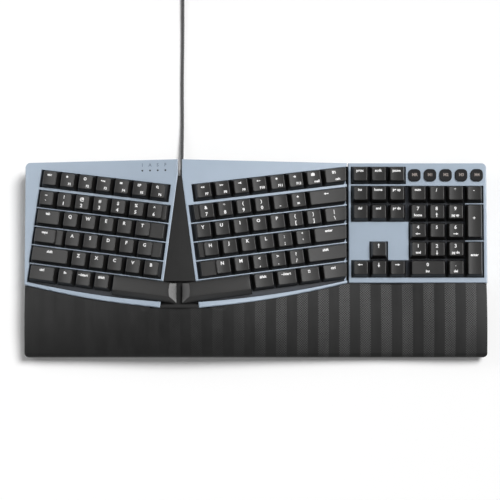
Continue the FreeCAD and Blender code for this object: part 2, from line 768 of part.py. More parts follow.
domes, circuits = [], []
for side in ("left", "right", "numpad"):
    edge = "cover_wall + deck_margin + sheet_margin"
    inner_edge = inner_wall(side) + " + deck_margin + sheet_margin"
    margins = {"outer": edge, "front": edge, "inner": inner_edge, "rear": edge}
    drop = "deck_drop + deck_thickness"
    domes.append(slab(side + "_domes", side, drop, "dome_thickness", **margins))
    circuits.append(slab(side + "_circuit", side, drop + " + dome_thickness", "membrane_thickness",
                         **margins))
keep("dome_sheets", group("dome_sheets", domes))
keep("membrane_circuit", group("membrane_circuit", circuits))


# Roof: the shape of the covers' planes across the body, let down by a drop measured square to
# them, drawn on the deck and run from front to rear.

def roof(name, drop, front, rear):
    side_drop = f"({drop}) / cos(tent_angle)"
    edge_x = "case_width / 2 + 5"
    knee_x = f"seam_x - ({drop}) * tan(tent_angle / 2)"
    points = [(f"-({edge_x})", "-60"), (edge_x, "-60"), (edge_x, f"-({drop})"), (knee_x, f"-({drop})"),
              ("ridge_x", f"{RISE} - {side_drop}"),
              (f"-({edge_x})", f"{RISE} - ({edge_x} + ridge_x) * tan(tent_angle) - {side_drop}")]
    place = "deck.Placement * " + at(y=front, axis="1; 0; 0", angle="90")
    return prism(name, points, f"({rear}) - ({front})", place, backwards=True)


# Centre cover: the black wedge between the two halves. It fills the split from the notch to the
# lip and is let down under the space bars.

split = split_prism("split", split_outline("centre_clearance", "centre_lip_y"))
centre_whole = common("centre_whole", split, roof("centre_top", "centre_drop", "-80", "rear_y"))
hollow_depth = "centre_pocket_y - centre_lip_y - centre_lip_depth"
under_bars = cut("under_bars", box("bar_space", "80", hollow_depth, "80",
                                   at("ridge_x - 40", "centre_lip_y + centre_lip_depth", "-20",
                                      frame="deck")),
                 roof("bar_roof", "slot_depth", "-80", "0"))
keep("centre_cover", cut("centre_cover", centre_whole,
                         group("centre_cuts", [roof("centre_bottom", "cover_depth", "-80", "rear_y"),
                                               under_bars])))


# Bottom case: a floor and walls that carry the covers, with cross ribs, screw posts, a slot for
# the cable in the rear wall and two recesses for the tilt feet.

def plan(name, inset, low, high):
    """Rounded rectangle of the case in plan, from one height to another."""
    x = f"(case_width / 2 - case_inset - ({inset}))"
    front, rear = f"front_y + 0.7 + ({inset})", f"rear_y - case_inset - ({inset})"
    r = "corner_radius"
    points = [(f"-{x} + {r}", front), (f"{x} - {r}", front), (x, f"{front} + {r}"), (x, f"{rear} - {r}"),
              (f"{x} - {r}", rear), (f"-{x} + {r}", rear), (f"-{x}", f"{rear} - {r}"),
              (f"-{x}", f"{front} + {r}")]
    return prism(name, points, f"({high}) - ({low})", at(z=low), {index: (r, 1) for index in (1, 3, 5, 7)})


def case_roof(name):
    return roof(name, "cover_depth", "numpad_lip_y + cover_wall", "rear_y - 0.5")


def across(name, y, length="rib_thickness"):
    return box(name, "case_width - 2 * case_inset - case_wall", length, "80",
               at("-case_width / 2 + case_inset + case_wall / 2", y, "foot_height"))


SLOT_WALL = "(cable_slot_half + case_wall)"
outer = plan("case_outer", "0", "foot_height", "80")
inner = plan("case_inner", "case_wall", "foot_height + floor_thickness", "90")
shell = cut("case_shell", outer, inner)
ribs = [across(f"rib{index}", y) for index, y in enumerate(["-22", "12", "46", "74"])]
slot_wall = box("slot_wall", f"2 * {SLOT_WALL}", "40", "80",
                at(f"ridge_x - {SLOT_WALL}", "cable_slot_y - case_wall", "foot_height"))
slot_limit = common("slot_limit", slot_wall, plan("slot_plan", "0.5", "foot_height", "80"))
high = common("case_high", fuse("case_walls", [shell, slot_limit] + ribs), case_roof("case_top"))
low = common("case_low", shell, box("case_parting", "600", "400", "palm_parting", at("-300", "-200", "0")))

TILT_HALF = "(tilt_width / 2 + tilt_clearance)"
TILT_Z = "(foot_height + 0.2 + tilt_thickness / 2)"
recess_rear = "tilt_hinge_y + tilt_thickness / 2 + tilt_clearance"
recess_front = "tilt_hinge_y - tilt_length - tilt_clearance"
recess_top = f"{TILT_Z} + tilt_thickness / 2 + tilt_clearance"
bosses, recesses = [], []
for side, sign in (("left", "-1"), ("right", "1")):
    wall = "case_wall"
    bosses.append(box(f"{side}_boss", f"2 * ({TILT_HALF} + {wall})",
                      f"{recess_rear} - ({recess_front}) + 2 * {wall}",
                      f"{recess_top} - foot_height + 2", at(f"{sign} * tilt_x - {TILT_HALF} - {wall}",
                                                            f"{recess_front} - {wall}", "foot_height")))
    recesses.append(box(f"{side}_recess", f"2 * {TILT_HALF}", f"{recess_rear} - ({recess_front})", recess_top,
                        at(f"{sign} * tilt_x - {TILT_HALF}", recess_front, "0")))
    recesses.append(cylinder(f"{side}_pin_bore", "tilt_pin_radius + tilt_pin_clearance", "tilt_width + 4.6",
                             at(f"{sign} * tilt_x - tilt_width / 2 - 2.3", "tilt_hinge_y", TILT_Z,
                                "0; 1; 0", "90")))

screw_spots = [(f"{sign} * (case_width / 2 - screw_{end}_inset)", f"screw_{end}_y")
               for end in ("front", "rear") for sign in (-1, 1)]
screw_spots += [("0", "screw_front_y"), ("screw_middle_x", "screw_rear_y")]
posts, sockets, screws = [], [], []
for index, (x, y) in enumerate(screw_spots):
    posts.append(cylinder(f"post{index}", "post_radius", "screw_length + 3", at(x, y, "foot_height")))
    sockets.append(cylinder(f"socket{index}", "screw_head_radius + 0.1", "foot_height + screw_head_height",
                            at(x, y)))
    sockets.append(cylinder(f"thread{index}", "screw_shank_radius + 0.02", "screw_length + 0.5",
                            at(x, y, "foot_height")))
    head = cylinder(f"screw_head{index}", "screw_head_radius", "screw_head_height - 0.2",
                    at(x, y, "foot_height + 0.2"))
    shank = cylinder(f"screw_shank{index}", "screw_shank_radius", "screw_length - 0.2",
                     at(x, y, "foot_height + 0.2"))
    screws.append(fuse(f"screw{index}", [head, shank]))
keep("case_screws", group("case_screws", screws))

board_posts = []
for index, (x, y) in enumerate([(4, 4), (-4, 4), (4, -4), (-4, -4)]):
    side_x = "board_x" if x > 0 else "board_x + board_width"
    side_y = "board_y" if y > 0 else "board_y + board_depth"
    board_posts.append(cylinder(f"board_post{index}", "2", "board_height - foot_height",
                                at(f"{side_x} + {x}", f"{side_y} + {y}", "foot_height")))
keep("controller_board", box("controller_board", "board_width", "board_depth", "board_thickness",
                             at("board_x", "board_y", "board_height")))

cable_slot = box("cable_slot", "2 * cable_slot_half", "60", "90",
                 at("ridge_x - cable_slot_half", "cable_slot_y", "0"))
relief_hole = cylinder("relief_hole", "relief_neck + 0.02", "case_wall + 4",
                       at("ridge_x", "cable_slot_y + 2", "cable_exit_height", "1; 0; 0", "90"))
case_solid = fuse("case_solid", [high, low] + bosses + posts + board_posts)
keep("bottom_case", cut("bottom_case", case_solid,
                        group("case_cuts", [cable_slot, relief_hole] + recesses + sockets)))


# Tilt feet, folded under the case. Each is a plate with a round hinge end and two pins.

for side, sign in (("left", "-1"), ("right", "1")):
    node = side + "_tilt_foot"
    plate = box(node + "_plate", "tilt_width", "tilt_length", "tilt_thickness",
                at(f"{sign} * tilt_x - tilt_width / 2", "tilt_hinge_y - tilt_length",
                   f"{TILT_Z} - tilt_thickness / 2"))
    barrel = cylinder(node + "_barrel", "tilt_thickness / 2", "tilt_width",
                      at(f"{sign} * tilt_x - tilt_width / 2", "tilt_hinge_y", TILT_Z, "0; 1; 0", "90"))
    pin = cylinder(node + "_pin", "tilt_pin_radius", "tilt_width + 4",
                   at(f"{sign} * tilt_x - tilt_width / 2 - 2", "tilt_hinge_y", TILT_Z, "0; 1; 0", "90"))
    keep(node, fuse(node, [plate, barrel, pin]))

pads = []
for index, (x, y) in enumerate([(-1, "pad_rear_y"), (0, "pad_rear_y"), (1, "pad_rear_y"),
                                (-1, "pad_front_y"), (0, "pad_front_y"), (1, "pad_front_y")]):
    pads.append(box(f"pad{index}", "pad_length", "pad_width", "foot_height",
                    at(f"{x} * pad_x - pad_length / 2", f"{y} - pad_width / 2")))
keep("rubber_feet", group("rubber_feet", pads))


# Palm rest: a hollow shell lofted across the body, which follows the lips of the covers.

def lip_height(x, y):
    """Height of the covers' planes over a point of the lip, from its place across the body."""
    rise = f"({RISE} - abs({x} - ridge_x) * tan(tent_angle))" if x != "case_width / 2" else "0"
    return f"(seam_height + {rise} * cos(rear_tilt) + ({y}) * sin(rear_tilt))"


HALF_LIP = f"(notch_half + (notch_y - centre_lip_y) * {INNER_SLOPE})"
LEFT_END, RIGHT_END = "(palm_inset - case_width / 2)", "(case_width / 2 - palm_inset)"


def palm_stations():
    """Place across the body, lip line and lip height of each section of the palm rest."""
    left, right = f"(ridge_x - {HALF_LIP})", f"(ridge_x + {HALF_LIP})"
    stations = []
    for share in (0, 0.34, 0.68):
        stations.append((f"{LEFT_END} + {share} * ({left} - {LEFT_END})",
                         f"left_lip_y + {share} * (centre_lip_y - left_lip_y)"))
    stations += [(left, "centre_lip_y"), (right, "centre_lip_y")]
    for share in (0.34, 0.68):
        stations.append((f"{right} + {share} * (seam_x - {right})",
                         f"centre_lip_y + {share} * (right_lip_y - centre_lip_y)"))
    return [(x, y, lip_height(f"({x})", y)) for x, y in stations] + [
        ("seam_x + 6", "numpad_lip_y", "(seam_height + numpad_lip_y * sin(rear_tilt))"),
        (f"(seam_x + 6 + {RIGHT_END}) / 2", "numpad_lip_y", "(seam_height + numpad_lip_y * sin(rear_tilt))"),
        (RIGHT_END, "numpad_lip_y", "(seam_height + numpad_lip_y * sin(rear_tilt))")]


def palm_loft(name, inset, back, under):
    sections = []
    stations = palm_stations()
    for index, (x, lip, height) in enumerate(stations):
        shift = {0: f" + {inset}", len(stations) - 1: f" - ({inset})"}.get(index, "")
        front = f"front_y + {inset}"
        rear = f"{lip} - palm_gap - ({back})"
        top = f"({height} - palm_step - ({inset}))"
        base = f"(palm_side_height + palm_front_rise * ({height} - seam_height) - palm_nose - ({inset}))"
        rise = f"({top} - {base} - palm_nose)"
        slope = f"(atan({rise} / ({rear} - ({front}) - palm_nose)) + palm_bulge * 1 deg)"
        brow_y = f"{front} + palm_nose * (1 - sin({slope}))"
        brow_z = f"{base} + palm_nose * cos({slope})"
        crown = f"sqrt((({rear}) - ({brow_y})) ^ 2 + ({top} - ({brow_z})) ^ 2) / (2 * sin(palm_bulge))"
        points = [(front, under), (front, base), (brow_y, brow_z), (rear, top)]
        points += [("palm_back_y", top), ("palm_back_y", under)] if back == "0" else [(rear, under)]
        sketch = doc.addObject("Sketcher::SketchObject", f"{name}_section{index}")
        bind(sketch, Placement=at(x + shift, axis="1; 1; 1", angle="120"))
        sections.append(draw(sketch, points, {1: ("palm_nose", -1), 2: (crown, -1)}))
    loft = doc.addObject("Part::Loft", name)
    loft.Sections = sections
    loft.Solid = True
    loft.Ruled = False
    loft.MaxDegree = 3
    return loft


palm_outside = palm_loft("palm_outside", "0", "0", "palm_parting")
palm_inside = palm_loft("palm_inside", "palm_wall", "palm_wall * 2.2", "palm_parting - 6")
lip_cuts = []
for side, margins in (("left", {}), ("right", {}), ("numpad", {"outer": "-20", "inner": "-4"})):
    points, arcs = cover_outline(side, front="-palm_gap", **margins)
    lip_cuts.append(prism(side + "_lip_cut", points, "140", at(z="-60", frame=side + "_plane"), arcs))
lip_cuts.append(box("centre_lip_cut", "60", "120", "120",
                    at("ridge_x - 30", "centre_lip_y - palm_gap", "-30", frame="deck")))
lip_cuts.append(box("edge_lip_cut", "8", "120", "120",
                    at("-case_width / 2 - 5", "left_lip_y - palm_gap", "-30", frame="deck")))
keep("palm_rest", cut("palm_rest", palm_outside, group("palm_cuts", [palm_inside] + lip_cuts)))


# Cable. The route leaves the rear wall, comes down to the desk and runs to a coil that holds the
# rest of the length, then to the plug. A free stretch is straight runs joined by arcs, each as
# large as its two runs allow.

CABLE = value("cable_diameter")
PITCH = CABLE + value("coil_gap")
COIL_Y = value("coil_y")
LAYER_Z = [value("coil_lift") + CABLE / 2 + layer * PITCH for layer in range(4)]
DESK_Z = CABLE / 2 + 0.1
RIDGE_X = value("ridge_x")
SLOT_Y = value("cable_slot_y")
EXIT_Z = value("cable_exit_height")


def rounded_path(points):
    """Edges and arc radii of straight runs joined by tangent arcs."""
    edges, radii = [], []
    start = points[0]
    for before, corner, after in zip(points, points[1:], points[2:]):
        first, second = before - corner, after - corner
        reach = 0.45 * min(first.Length, second.Length)
        enter = corner + first.normalize() * reach
        leave = corner + second.normalize() * reach
        half_turn = (math.pi - first.getAngle(second)) / 2
        radius = reach / math.tan(half_turn)
        inward = (first + second).normalize()
        middle = corner + inward * (radius / math.cos(half_turn) - radius)
        edges += [Part.LineSegment(start, enter).toShape(), Part.Arc(enter, middle, leave).toShape()]
        radii.append(radius)
        start = leave
    edges.append(Part.LineSegment(start, points[-1]).toShape())
    return edges, radii


def tube(edges, start, direction):
    wire = Part.Wire(edges)
    ring = Part.Wire([Part.Circle(start, direction, CABLE / 2).toShape()])
    return wire, wire.makePipeShell([ring], True, False)


def report(name, wire, solid):
    section = math.pi * CABLE ** 2 / 4
    ratio = solid.Volume / (section * wire.Length)
    print(f"{name}: {wire.Length:.0f} mm long, volume {ratio:.4f} of section x length")


def keep_shape(node, shape):
    piece = doc.addObject("Part::Feature", node)
    piece.Shape = shape
    return keep(node, piece)


run_points = [Vector(*point) for point in (
    (RIDGE_X, SLOT_Y - 6, EXIT_Z),
    (RIDGE_X, SLOT_Y + 34, EXIT_Z),
    (RIDGE_X + 0.3, SLOT_Y + 76, DESK_Z + 0.1),
    (RIDGE_X - 0.3, SLOT_Y + 118, DESK_Z),
    (RIDGE_X + 0.2, COIL_Y - 84, DESK_Z + 0.1),
    (RIDGE_X, COIL_Y - 43, LAYER_Z[0]),
    (RIDGE_X, COIL_Y - CABLE, LAYER_Z[0]))]
rearwards = Vector(0, 1, 0)
edges, radii = rounded_path(run_points)
wire, solid = tube(edges, run_points[0], rearwards)
print("cable_run radii:", ", ".join(f"{radius:.0f}" for radius in radii))
report("cable_run", wire, solid)
keep_shape("cable_run", solid)


# Coil: four layers of half turns. A layer spirals in or out by half a pitch in each half turn, and
# the half turn where it reverses climbs to the next layer as two arcs. The half turn after a climb
# steps a whole pitch, to clear it.

INNER = value("coil_inner_radius")
LAYER_HALVES = (5, 4, 4, 6)


def coil_crossings():
    """Reach from the coil's middle and layer at each crossing of the middle line."""
    reach, inwards = INNER + (LAYER_HALVES[0] + 1) * PITCH / 2, True
    spots = [(reach, 0)]
    for layer, halves in enumerate(LAYER_HALVES):
        for half in range(halves):
            step = PITCH if layer and half == 0 else PITCH / 2
            reach += -step if inwards else step
            spots.append((reach, layer))
        if layer < 3:
            reach += -PITCH / 2 if inwards else PITCH / 2
            spots.append((reach, layer + 1))
            inwards = not inwards
    return spots


def coil_edges():
    spots = coil_crossings()
    middle_x = RIDGE_X + spots[0][0]
    places = []
    for index, (reach, layer) in enumerate(spots):
        side = -1 if index % 2 == 0 else 1
        places.append(Vector(middle_x + side * reach, COIL_Y, LAYER_Z[layer]))
    lead = Vector(0, CABLE, 0)
    edges = [Part.LineSegment(places[0] - lead, places[0]).toShape()]
    for index, (start, stop) in enumerate(zip(places, places[1:])):
        way = Vector(0, 1 if index % 2 == 0 else -1, 0)
        level = (start + stop) / 2
        half = (stop - start).Length / 2
        if start.z == stop.z:
            edges.append(Part.Arc(start, level + way * half, stop).toShape())
            continue
        joint = level + way * half
        for end in (start, stop):
            corner = end + way * half
            centre = end + joint - corner
            bulge = centre + (corner - centre).normalize() * half
            arc = Part.Arc(end, bulge, joint) if end is start else Part.Arc(joint, bulge, end)
            edges.append(arc.toShape())
    edges.append(Part.LineSegment(places[-1], places[-1] + lead).toShape())
    return edges, places, middle_x


def least_gap(wire):
    """Least distance between the skins of two turns, measured on points along the wire."""
    points = wire.discretize(Distance=1.2)
    skip = int(6 * CABLE / 1.2)
    least = min((points[i] - points[j]).Length
                for i in range(len(points)) for j in range(i + skip, len(points)))
    return least - CABLE


edges, places, COIL_X = coil_edges()
wire, solid = tube(edges, places[0] - Vector(0, CABLE, 0), rearwards)
report("cable_coil", wire, solid)
print(f"cable_coil least gap: {least_gap(wire):.2f} mm")
keep_shape("cable_coil", solid)

tail_start = places[-1] + Vector(0, CABLE, 0)
PLUG_Z = value("plug_height") / 2
tail_points = [tail_start, tail_start + Vector(0, 24, 0)]
tail_points += [Vector(tail_start.x + x, tail_start.y + y, z) for x, y, z in (
    (0.5, 52, PLUG_Z + 1.2), (0, 78, PLUG_Z), (0, 100, PLUG_Z))]
edges, radii = rounded_path(tail_points)
wire, solid = tube(edges, tail_start, rearwards)
print("cable_tail radii:", ", ".join(f"{radius:.0f}" for radius in radii))
report("cable_tail", wire, solid)
keep_shape("cable_tail", solid)

# strain relief: a tapered sleeve behind the wall, a neck through it and a collar inside
relief = Part.makeCone(value("relief_radius"), CABLE / 2 + 0.6, value("relief_length"),
                       Vector(RIDGE_X, SLOT_Y, EXIT_Z), rearwards)
neck = Part.makeCylinder(value("relief_neck"), value("case_wall"),
                         Vector(RIDGE_X, SLOT_Y - value("case_wall"), EXIT_Z), rearwards)
collar_start = Vector(RIDGE_X, SLOT_Y - value("case_wall") - 1.5, EXIT_Z)
collar = Part.makeCylinder(value("relief_radius"), 1.5, collar_start, rearwards)
bore_tool = Part.makeCylinder(CABLE / 2 + 0.02, 60, Vector(RIDGE_X, SLOT_Y - 20, EXIT_Z), rearwards)
keep_shape("cable_strain_relief", relief.fuse([neck, collar]).cut(bore_tool))

# tie: a flat band round all the turns, at the side of the coil towards the keyboard
slack = value("tie_clearance")
band = value("tie_thickness")
reaches = [reach for reach, layer in coil_crossings()]
inside = (min(reaches) - CABLE / 2 - 2 * slack, max(reaches) + CABLE / 2 + slack)
levels = (LAYER_Z[0] - CABLE / 2, LAYER_Z[3] + CABLE / 2 + slack / 2)
width = value("tie_width")


def band_box(grow):
    low = levels[0] - (grow if grow else 0.05)
    return Part.makeBox(width, inside[1] - inside[0] + 2 * grow, levels[1] + grow - low,
                        Vector(COIL_X - width / 2, COIL_Y - inside[1] - grow, low))


tie = band_box(band)
tie = tie.makeFillet(band, [edge for edge in tie.Edges if abs(edge.tangentAt(edge.FirstParameter).x) > 0.9])
keep_shape("cable_tie", tie.cut(band_box(0)))


# Plug, lying on the desk behind the coil: a moulded grip and a hollow metal shell with a tongue.

plug_start = tail_points[-1]
body_size = [value("plug_width"), value("plug_length"), value("plug_height")]
grip = Part.makeBox(*body_size, plug_start - Vector(body_size[0] / 2, 0, body_size[2] / 2))
long_edges = [edge for edge in grip.Edges if abs(edge.tangentAt(edge.FirstParameter).y) > 0.9]
grip = grip.makeFillet(value("plug_radius"), long_edges)
keep_shape("plug_body", grip)


def shell_box(wall, start, length):
    size = [value("shell_width") - 2 * wall, length, value("shell_height") - 2 * wall]
    return Part.makeBox(*size, plug_start + Vector(-size[0] / 2, value("plug_length") + start, -size[2] / 2))


shell_length = value("shell_length")
wall = value("shell_wall")
plug_shell = shell_box(0, 0, shell_length).cut(shell_box(wall, 1.0, shell_length))
tongue = shell_box(wall, 0.5, shell_length - 1.0)
tongue = tongue.common(tongue.translated(Vector(0, 0, 1.9)))
keep_shape("plug_shell", plug_shell.fuse(tongue))


# Check every object, then write each piece to its own file.

doc.recompute()
for piece in doc.Objects:
    if {"Invalid", "Error"} & set(piece.State):
        raise RuntimeError(f"{piece.Name} was not rebuilt")
for node, piece in parts.items():
    shape = Part.getShape(piece)
    if shape.isNull() or not shape.isValid() or not shape.Solids:
        raise RuntimeError(f"{node} is not a valid solid")
    shape.exportStep(f"parts/{node}.step")
print(f"{len(parts)} pieces")
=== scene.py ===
import math

import bmesh
import bpy
from mathutils import Matrix, Vector


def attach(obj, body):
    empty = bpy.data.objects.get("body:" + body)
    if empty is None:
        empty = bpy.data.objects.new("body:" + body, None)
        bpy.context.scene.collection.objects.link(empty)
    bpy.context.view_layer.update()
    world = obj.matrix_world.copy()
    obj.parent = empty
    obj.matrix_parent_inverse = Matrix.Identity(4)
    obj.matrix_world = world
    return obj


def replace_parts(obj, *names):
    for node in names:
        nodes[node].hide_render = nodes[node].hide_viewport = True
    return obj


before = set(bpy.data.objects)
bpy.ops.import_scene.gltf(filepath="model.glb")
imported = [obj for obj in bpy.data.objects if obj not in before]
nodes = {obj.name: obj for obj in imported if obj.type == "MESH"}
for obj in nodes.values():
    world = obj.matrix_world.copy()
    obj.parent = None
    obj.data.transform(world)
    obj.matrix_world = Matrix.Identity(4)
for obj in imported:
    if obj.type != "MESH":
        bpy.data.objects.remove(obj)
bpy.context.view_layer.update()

# Camera: it stands 1.6 m above the desk, a little towards the typist, so that the keyboard is seen
# from almost straight above, and it looks at the middle of the picture.

CAMERA_TILT = math.radians(6.2)
CAMERA_DISTANCE = 1.6
LOOK_AT = Vector((-0.0061, 0.0121, -0.003))
FIELD_WIDTH = 0.5176
SENSOR_WIDTH = 36
back = Vector((0, -math.sin(CAMERA_TILT), math.cos(CAMERA_TILT)))
camera = bpy.data.objects.new("camera", bpy.data.cameras.new("camera"))
camera.data.sensor_width = SENSOR_WIDTH
camera.data.lens = SENSOR_WIDTH * CAMERA_DISTANCE / FIELD_WIDTH
camera.location = LOOK_AT + back * CAMERA_DISTANCE
camera.rotation_euler = (CAMERA_TILT, 0, 0)
bpy.context.scene.collection.objects.link(camera)
bpy.context.scene.camera = camera
bpy.context.scene.view_settings.view_transform = "Standard"

# Cable: a round rubber-jacketed lead that leaves the notch between the two halves and runs straight
# back over the desk. The rest of it is wound in four layers behind the keyboard, just out of the
# picture, and held by a tie, and its end comes off the top of the coil to the plug.

CABLE_DIAMETER = 0.0032
COIL_X, COIL_Y = -0.052, 0.318
OUTER_TURN, INNER_TURN = 0.0246, 0.0132
HALF_TURN_STEP = 0.0019
TURN_POINTS = 16
route = [(-0.0766, 0.064, 0.0078), (-0.0766, 0.098, 0.0078), (-0.0763, 0.140, 0.0018),
         (-0.0769, 0.182, 0.0017), (-0.0764, 0.234, 0.0018), (-0.0766, 0.275, 0.0027)]
layers = [0.0027, 0.0065, 0.0103, 0.0141]
# how far each crossing of the coil's middle line is from its middle, and its layer: the lead winds
# inwards on one layer and outwards on the next
crossings = [(OUTER_TURN - HALF_TURN_STEP * step, 0) for step in range(6)]
crossings += [(INNER_TURN, 1)] + [(INNER_TURN + HALF_TURN_STEP * step, 1) for step in range(2, 6)]
crossings += [(OUTER_TURN, 2)] + [(OUTER_TURN - HALF_TURN_STEP * step, 2) for step in range(2, 6)]
crossings += [(INNER_TURN, 3)] + [(INNER_TURN + HALF_TURN_STEP * step, 3) for step in range(2, 8)]
# the curve runs a little inside its points, so these stand further out than the turn does
outward = 1 / math.cos(math.pi / TURN_POINTS)
for half, ((start, lower), (end, upper)) in enumerate(zip(crossings, crossings[1:])):
    way = -1 if half % 2 == 0 else 1
    middle = COIL_X + way * (start - end) / 2
    radius = (start + end) / 2 * outward
    for step in range(TURN_POINTS // 2):
        share = (step + 0.5) / (TURN_POINTS // 2)
        height = layers[lower] + (layers[upper] - layers[lower]) * share
        route.append((middle + way * radius * math.cos(math.pi * share),
                      COIL_Y - way * radius * math.sin(math.pi * share), height))
route += [(-0.0785, 0.3212, 0.0141), (-0.0785, 0.3452, 0.0141), (-0.0780, 0.3732, 0.0052),
          (-0.0785, 0.3992, 0.0040), (-0.0785, 0.4212, 0.0040)]
line = bpy.data.curves.new("cable", "CURVE")
line.dimensions = "3D"
line.bevel_depth = CABLE_DIAMETER / 2
line.bevel_resolution = 3
line.use_fill_caps = True
line.resolution_u = 4
spline = line.splines.new("NURBS")
spline.points.add(len(route) - 1)
for point, spot in zip(spline.points, route):
    point.co = (*spot, 1)
spline.order_u = 3
spline.use_endpoint_u = True
cable = bpy.data.objects.new("cable", line)
bpy.context.scene.collection.objects.link(cable)

GLOSS_SWING = 0.06
PATCH_SIZE = 0.02


def moulded(name, colour, roughness, grain=0.0004, depth=0.1, patch=0.06, shine=0.5):
    """Moulded plastic or rubber with a fine grain, and faint patches in its colour and gloss."""
    material = bpy.data.materials.new(name)
    material.use_nodes = True
    tree, link = material.node_tree.nodes, material.node_tree.links.new
    shader = tree["Principled BSDF"]
    shader.inputs["Specular IOR Level"].default_value = shine
    place = tree.new("ShaderNodeTexCoord")
    fine = tree.new("ShaderNodeTexNoise")
    fine.inputs["Scale"].default_value = 1 / grain
    fine.inputs["Detail"].default_value = 2
    coarse = tree.new("ShaderNodeTexNoise")
    coarse.inputs["Scale"].default_value = 1 / PATCH_SIZE
    coarse.inputs["Detail"].default_value = 3
    link(place.outputs["Object"], fine.inputs["Vector"])
    link(place.outputs["Object"], coarse.inputs["Vector"])
    tone = tree.new("ShaderNodeValToRGB")
    tone.color_ramp.elements[0].position = 0.3
    tone.color_ramp.elements[1].position = 0.7
    tone.color_ramp.elements[0].color = [part * (1 - patch) for part in colour] + [1]
    tone.color_ramp.elements[1].color = [part * (1 + patch) for part in colour] + [1]
    link(coarse.outputs["Fac"], tone.inputs["Fac"])
    link(tone.outputs["Color"], shader.inputs["Base Color"])
    gloss = tree.new("ShaderNodeMapRange")
    gloss.inputs["To Min"].default_value = roughness - GLOSS_SWING
    gloss.inputs["To Max"].default_value = roughness + GLOSS_SWING
    link(fine.outputs["Fac"], gloss.inputs["Value"])
    link(gloss.outputs["Result"], shader.inputs["Roughness"])
    bump = tree.new("ShaderNodeBump")
    bump.inputs["Strength"].default_value = depth
    bump.inputs["Distance"].default_value = grain / 2
    link(fine.outputs["Fac"], bump.inputs["Height"])
    link(bump.outputs["Normal"], shader.inputs["Normal"])
    return material


jacket = moulded("cable jacket", (0.02, 0.02, 0.021), 0.5, grain=0.0006)
cable.data.materials.append(jacket)
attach(cable, "chassis")
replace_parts(cable, "cable_run", "cable_coil", "cable_tail")

# Studio: a white table in a white room. Broad window light from high behind the keyboard's right
# end throws the soft shadow to the left and towards the typist. Panels stand and hang at both ends.

floor_mesh = bmesh.new()
bmesh.ops.create_grid(floor_mesh, x_segments=4, y_segments=4, size=4)
floor = bpy.data.objects.new("table", bpy.data.meshes.new("table"))
floor_mesh.to_mesh(floor.data)
floor_mesh.free()
bpy.context.scene.collection.objects.link(floor)
white = bpy.data.materials.new("white table")
white.use_nodes = True
tree, link = white.node_tree.nodes, white.node_tree.links.new
white_shader = tree["Principled BSDF"]
white_shader.inputs["Base Color"].default_value = (0.95, 0.95, 0.95, 1)
white_shader.inputs["Roughness"].default_value = 0.9
white_shader.inputs["Specular IOR Level"].default_value = 0.0


def background_rays(graph):
    """One for the rays that show the background: those of the camera, reflections and glass."""
    rays = graph.nodes.new("ShaderNodeLightPath")
    socket = rays.outputs["Is Camera Ray"]
    for name in ("Is Glossy Ray", "Is Transmission Ray"):
        either = graph.nodes.new("ShaderNodeMath")
        either.operation = "MAXIMUM"
        graph.links.new(socket, either.inputs[0])
        graph.links.new(rays.outputs[name], either.inputs[1])
        socket = either.outputs[0]
    return socket


# a faint glow, for the eye and for reflections only, brings the table up to white
glow = tree.new("ShaderNodeMath")
glow.operation = "MULTIPLY"
glow.inputs[1].default_value = 0.06
link(background_rays(white.node_tree), glow.inputs[0])
white_shader.inputs["Emission Color"].default_value = (1, 1, 1, 1)
link(glow.outputs[0], white_shader.inputs["Emission Strength"])
floor.data.materials.append(white)

# the room sheds a weak even light, and looks white itself
world = bpy.data.worlds.new("studio")
bpy.context.scene.world = world
world.use_nodes = True
tree, link = world.node_tree.nodes, world.node_tree.links.new
sky = tree["Background"]
sky.inputs["Color"].default_value = (1, 1, 1, 1)
sky.inputs["Strength"].default_value = 0.2
backdrop = tree.new("ShaderNodeBackground")
backdrop.inputs["Color"].default_value = (1, 1, 1, 1)
chosen = tree.new("ShaderNodeMixShader")
link(background_rays(world.node_tree), chosen.inputs[0])
link(sky.outputs[0], chosen.inputs[1])
link(backdrop.outputs[0], chosen.inputs[2])
link(chosen.outputs[0], tree["World Output"].inputs["Surface"])

sun = bpy.data.lights.new("window", "SUN")
sun.energy = 2.9
sun.angle = math.radians(28)
window = bpy.data.objects.new("window", sun)
window.rotation_euler = Vector((0.54, 0.48, 1.0)).to_track_quat("Z", "Y").to_euler()
window.visible_glossy = False
bpy.context.scene.collection.objects.link(window)

# The panel behind the left end fills that half. The others are only seen in reflections: two light
# the bars' facets, and two overhead brighten the outer side of the dished tops.
panels = [("left rear panel", (-1.6, 1.0, 1.2), 1.0, 1.0, 5.5),
          ("right panel", (2.2, 0.1, 0.8), 1.2, 1.2, 40.0),
          ("left panel", (-2.2, 0.0, 0.75), 1.2, 1.2, 10.0),
          ("left overhead panel", (-0.93, 0.05, 0.75), 0.9, 0.9, 7.5),
          ("right overhead panel", (0.83, 0.05, 0.75), 0.84, 0.9, 12.0)]
for name, spot, width, depth, watts in panels:
    panel = bpy.data.lights.new(name, "AREA")
    panel.shape = "RECTANGLE"
    panel.size, panel.size_y = width, depth
    panel.energy = watts
    holder = bpy.data.objects.new(name, panel)
    holder.location = spot
    holder.rotation_euler = Vector(spot).to_track_quat("Z", "Y").to_euler()
    holder.visible_camera = False
    holder.visible_diffuse = name == "left rear panel"
    bpy.context.scene.collection.objects.link(holder)

# Covers: two tented halves and a flat number-pad cover, moulded in blue-grey plastic with a fine
# satin grain. They sit on the case's walls and leave slots for the keys.

SHARP_ANGLE = math.radians(28)


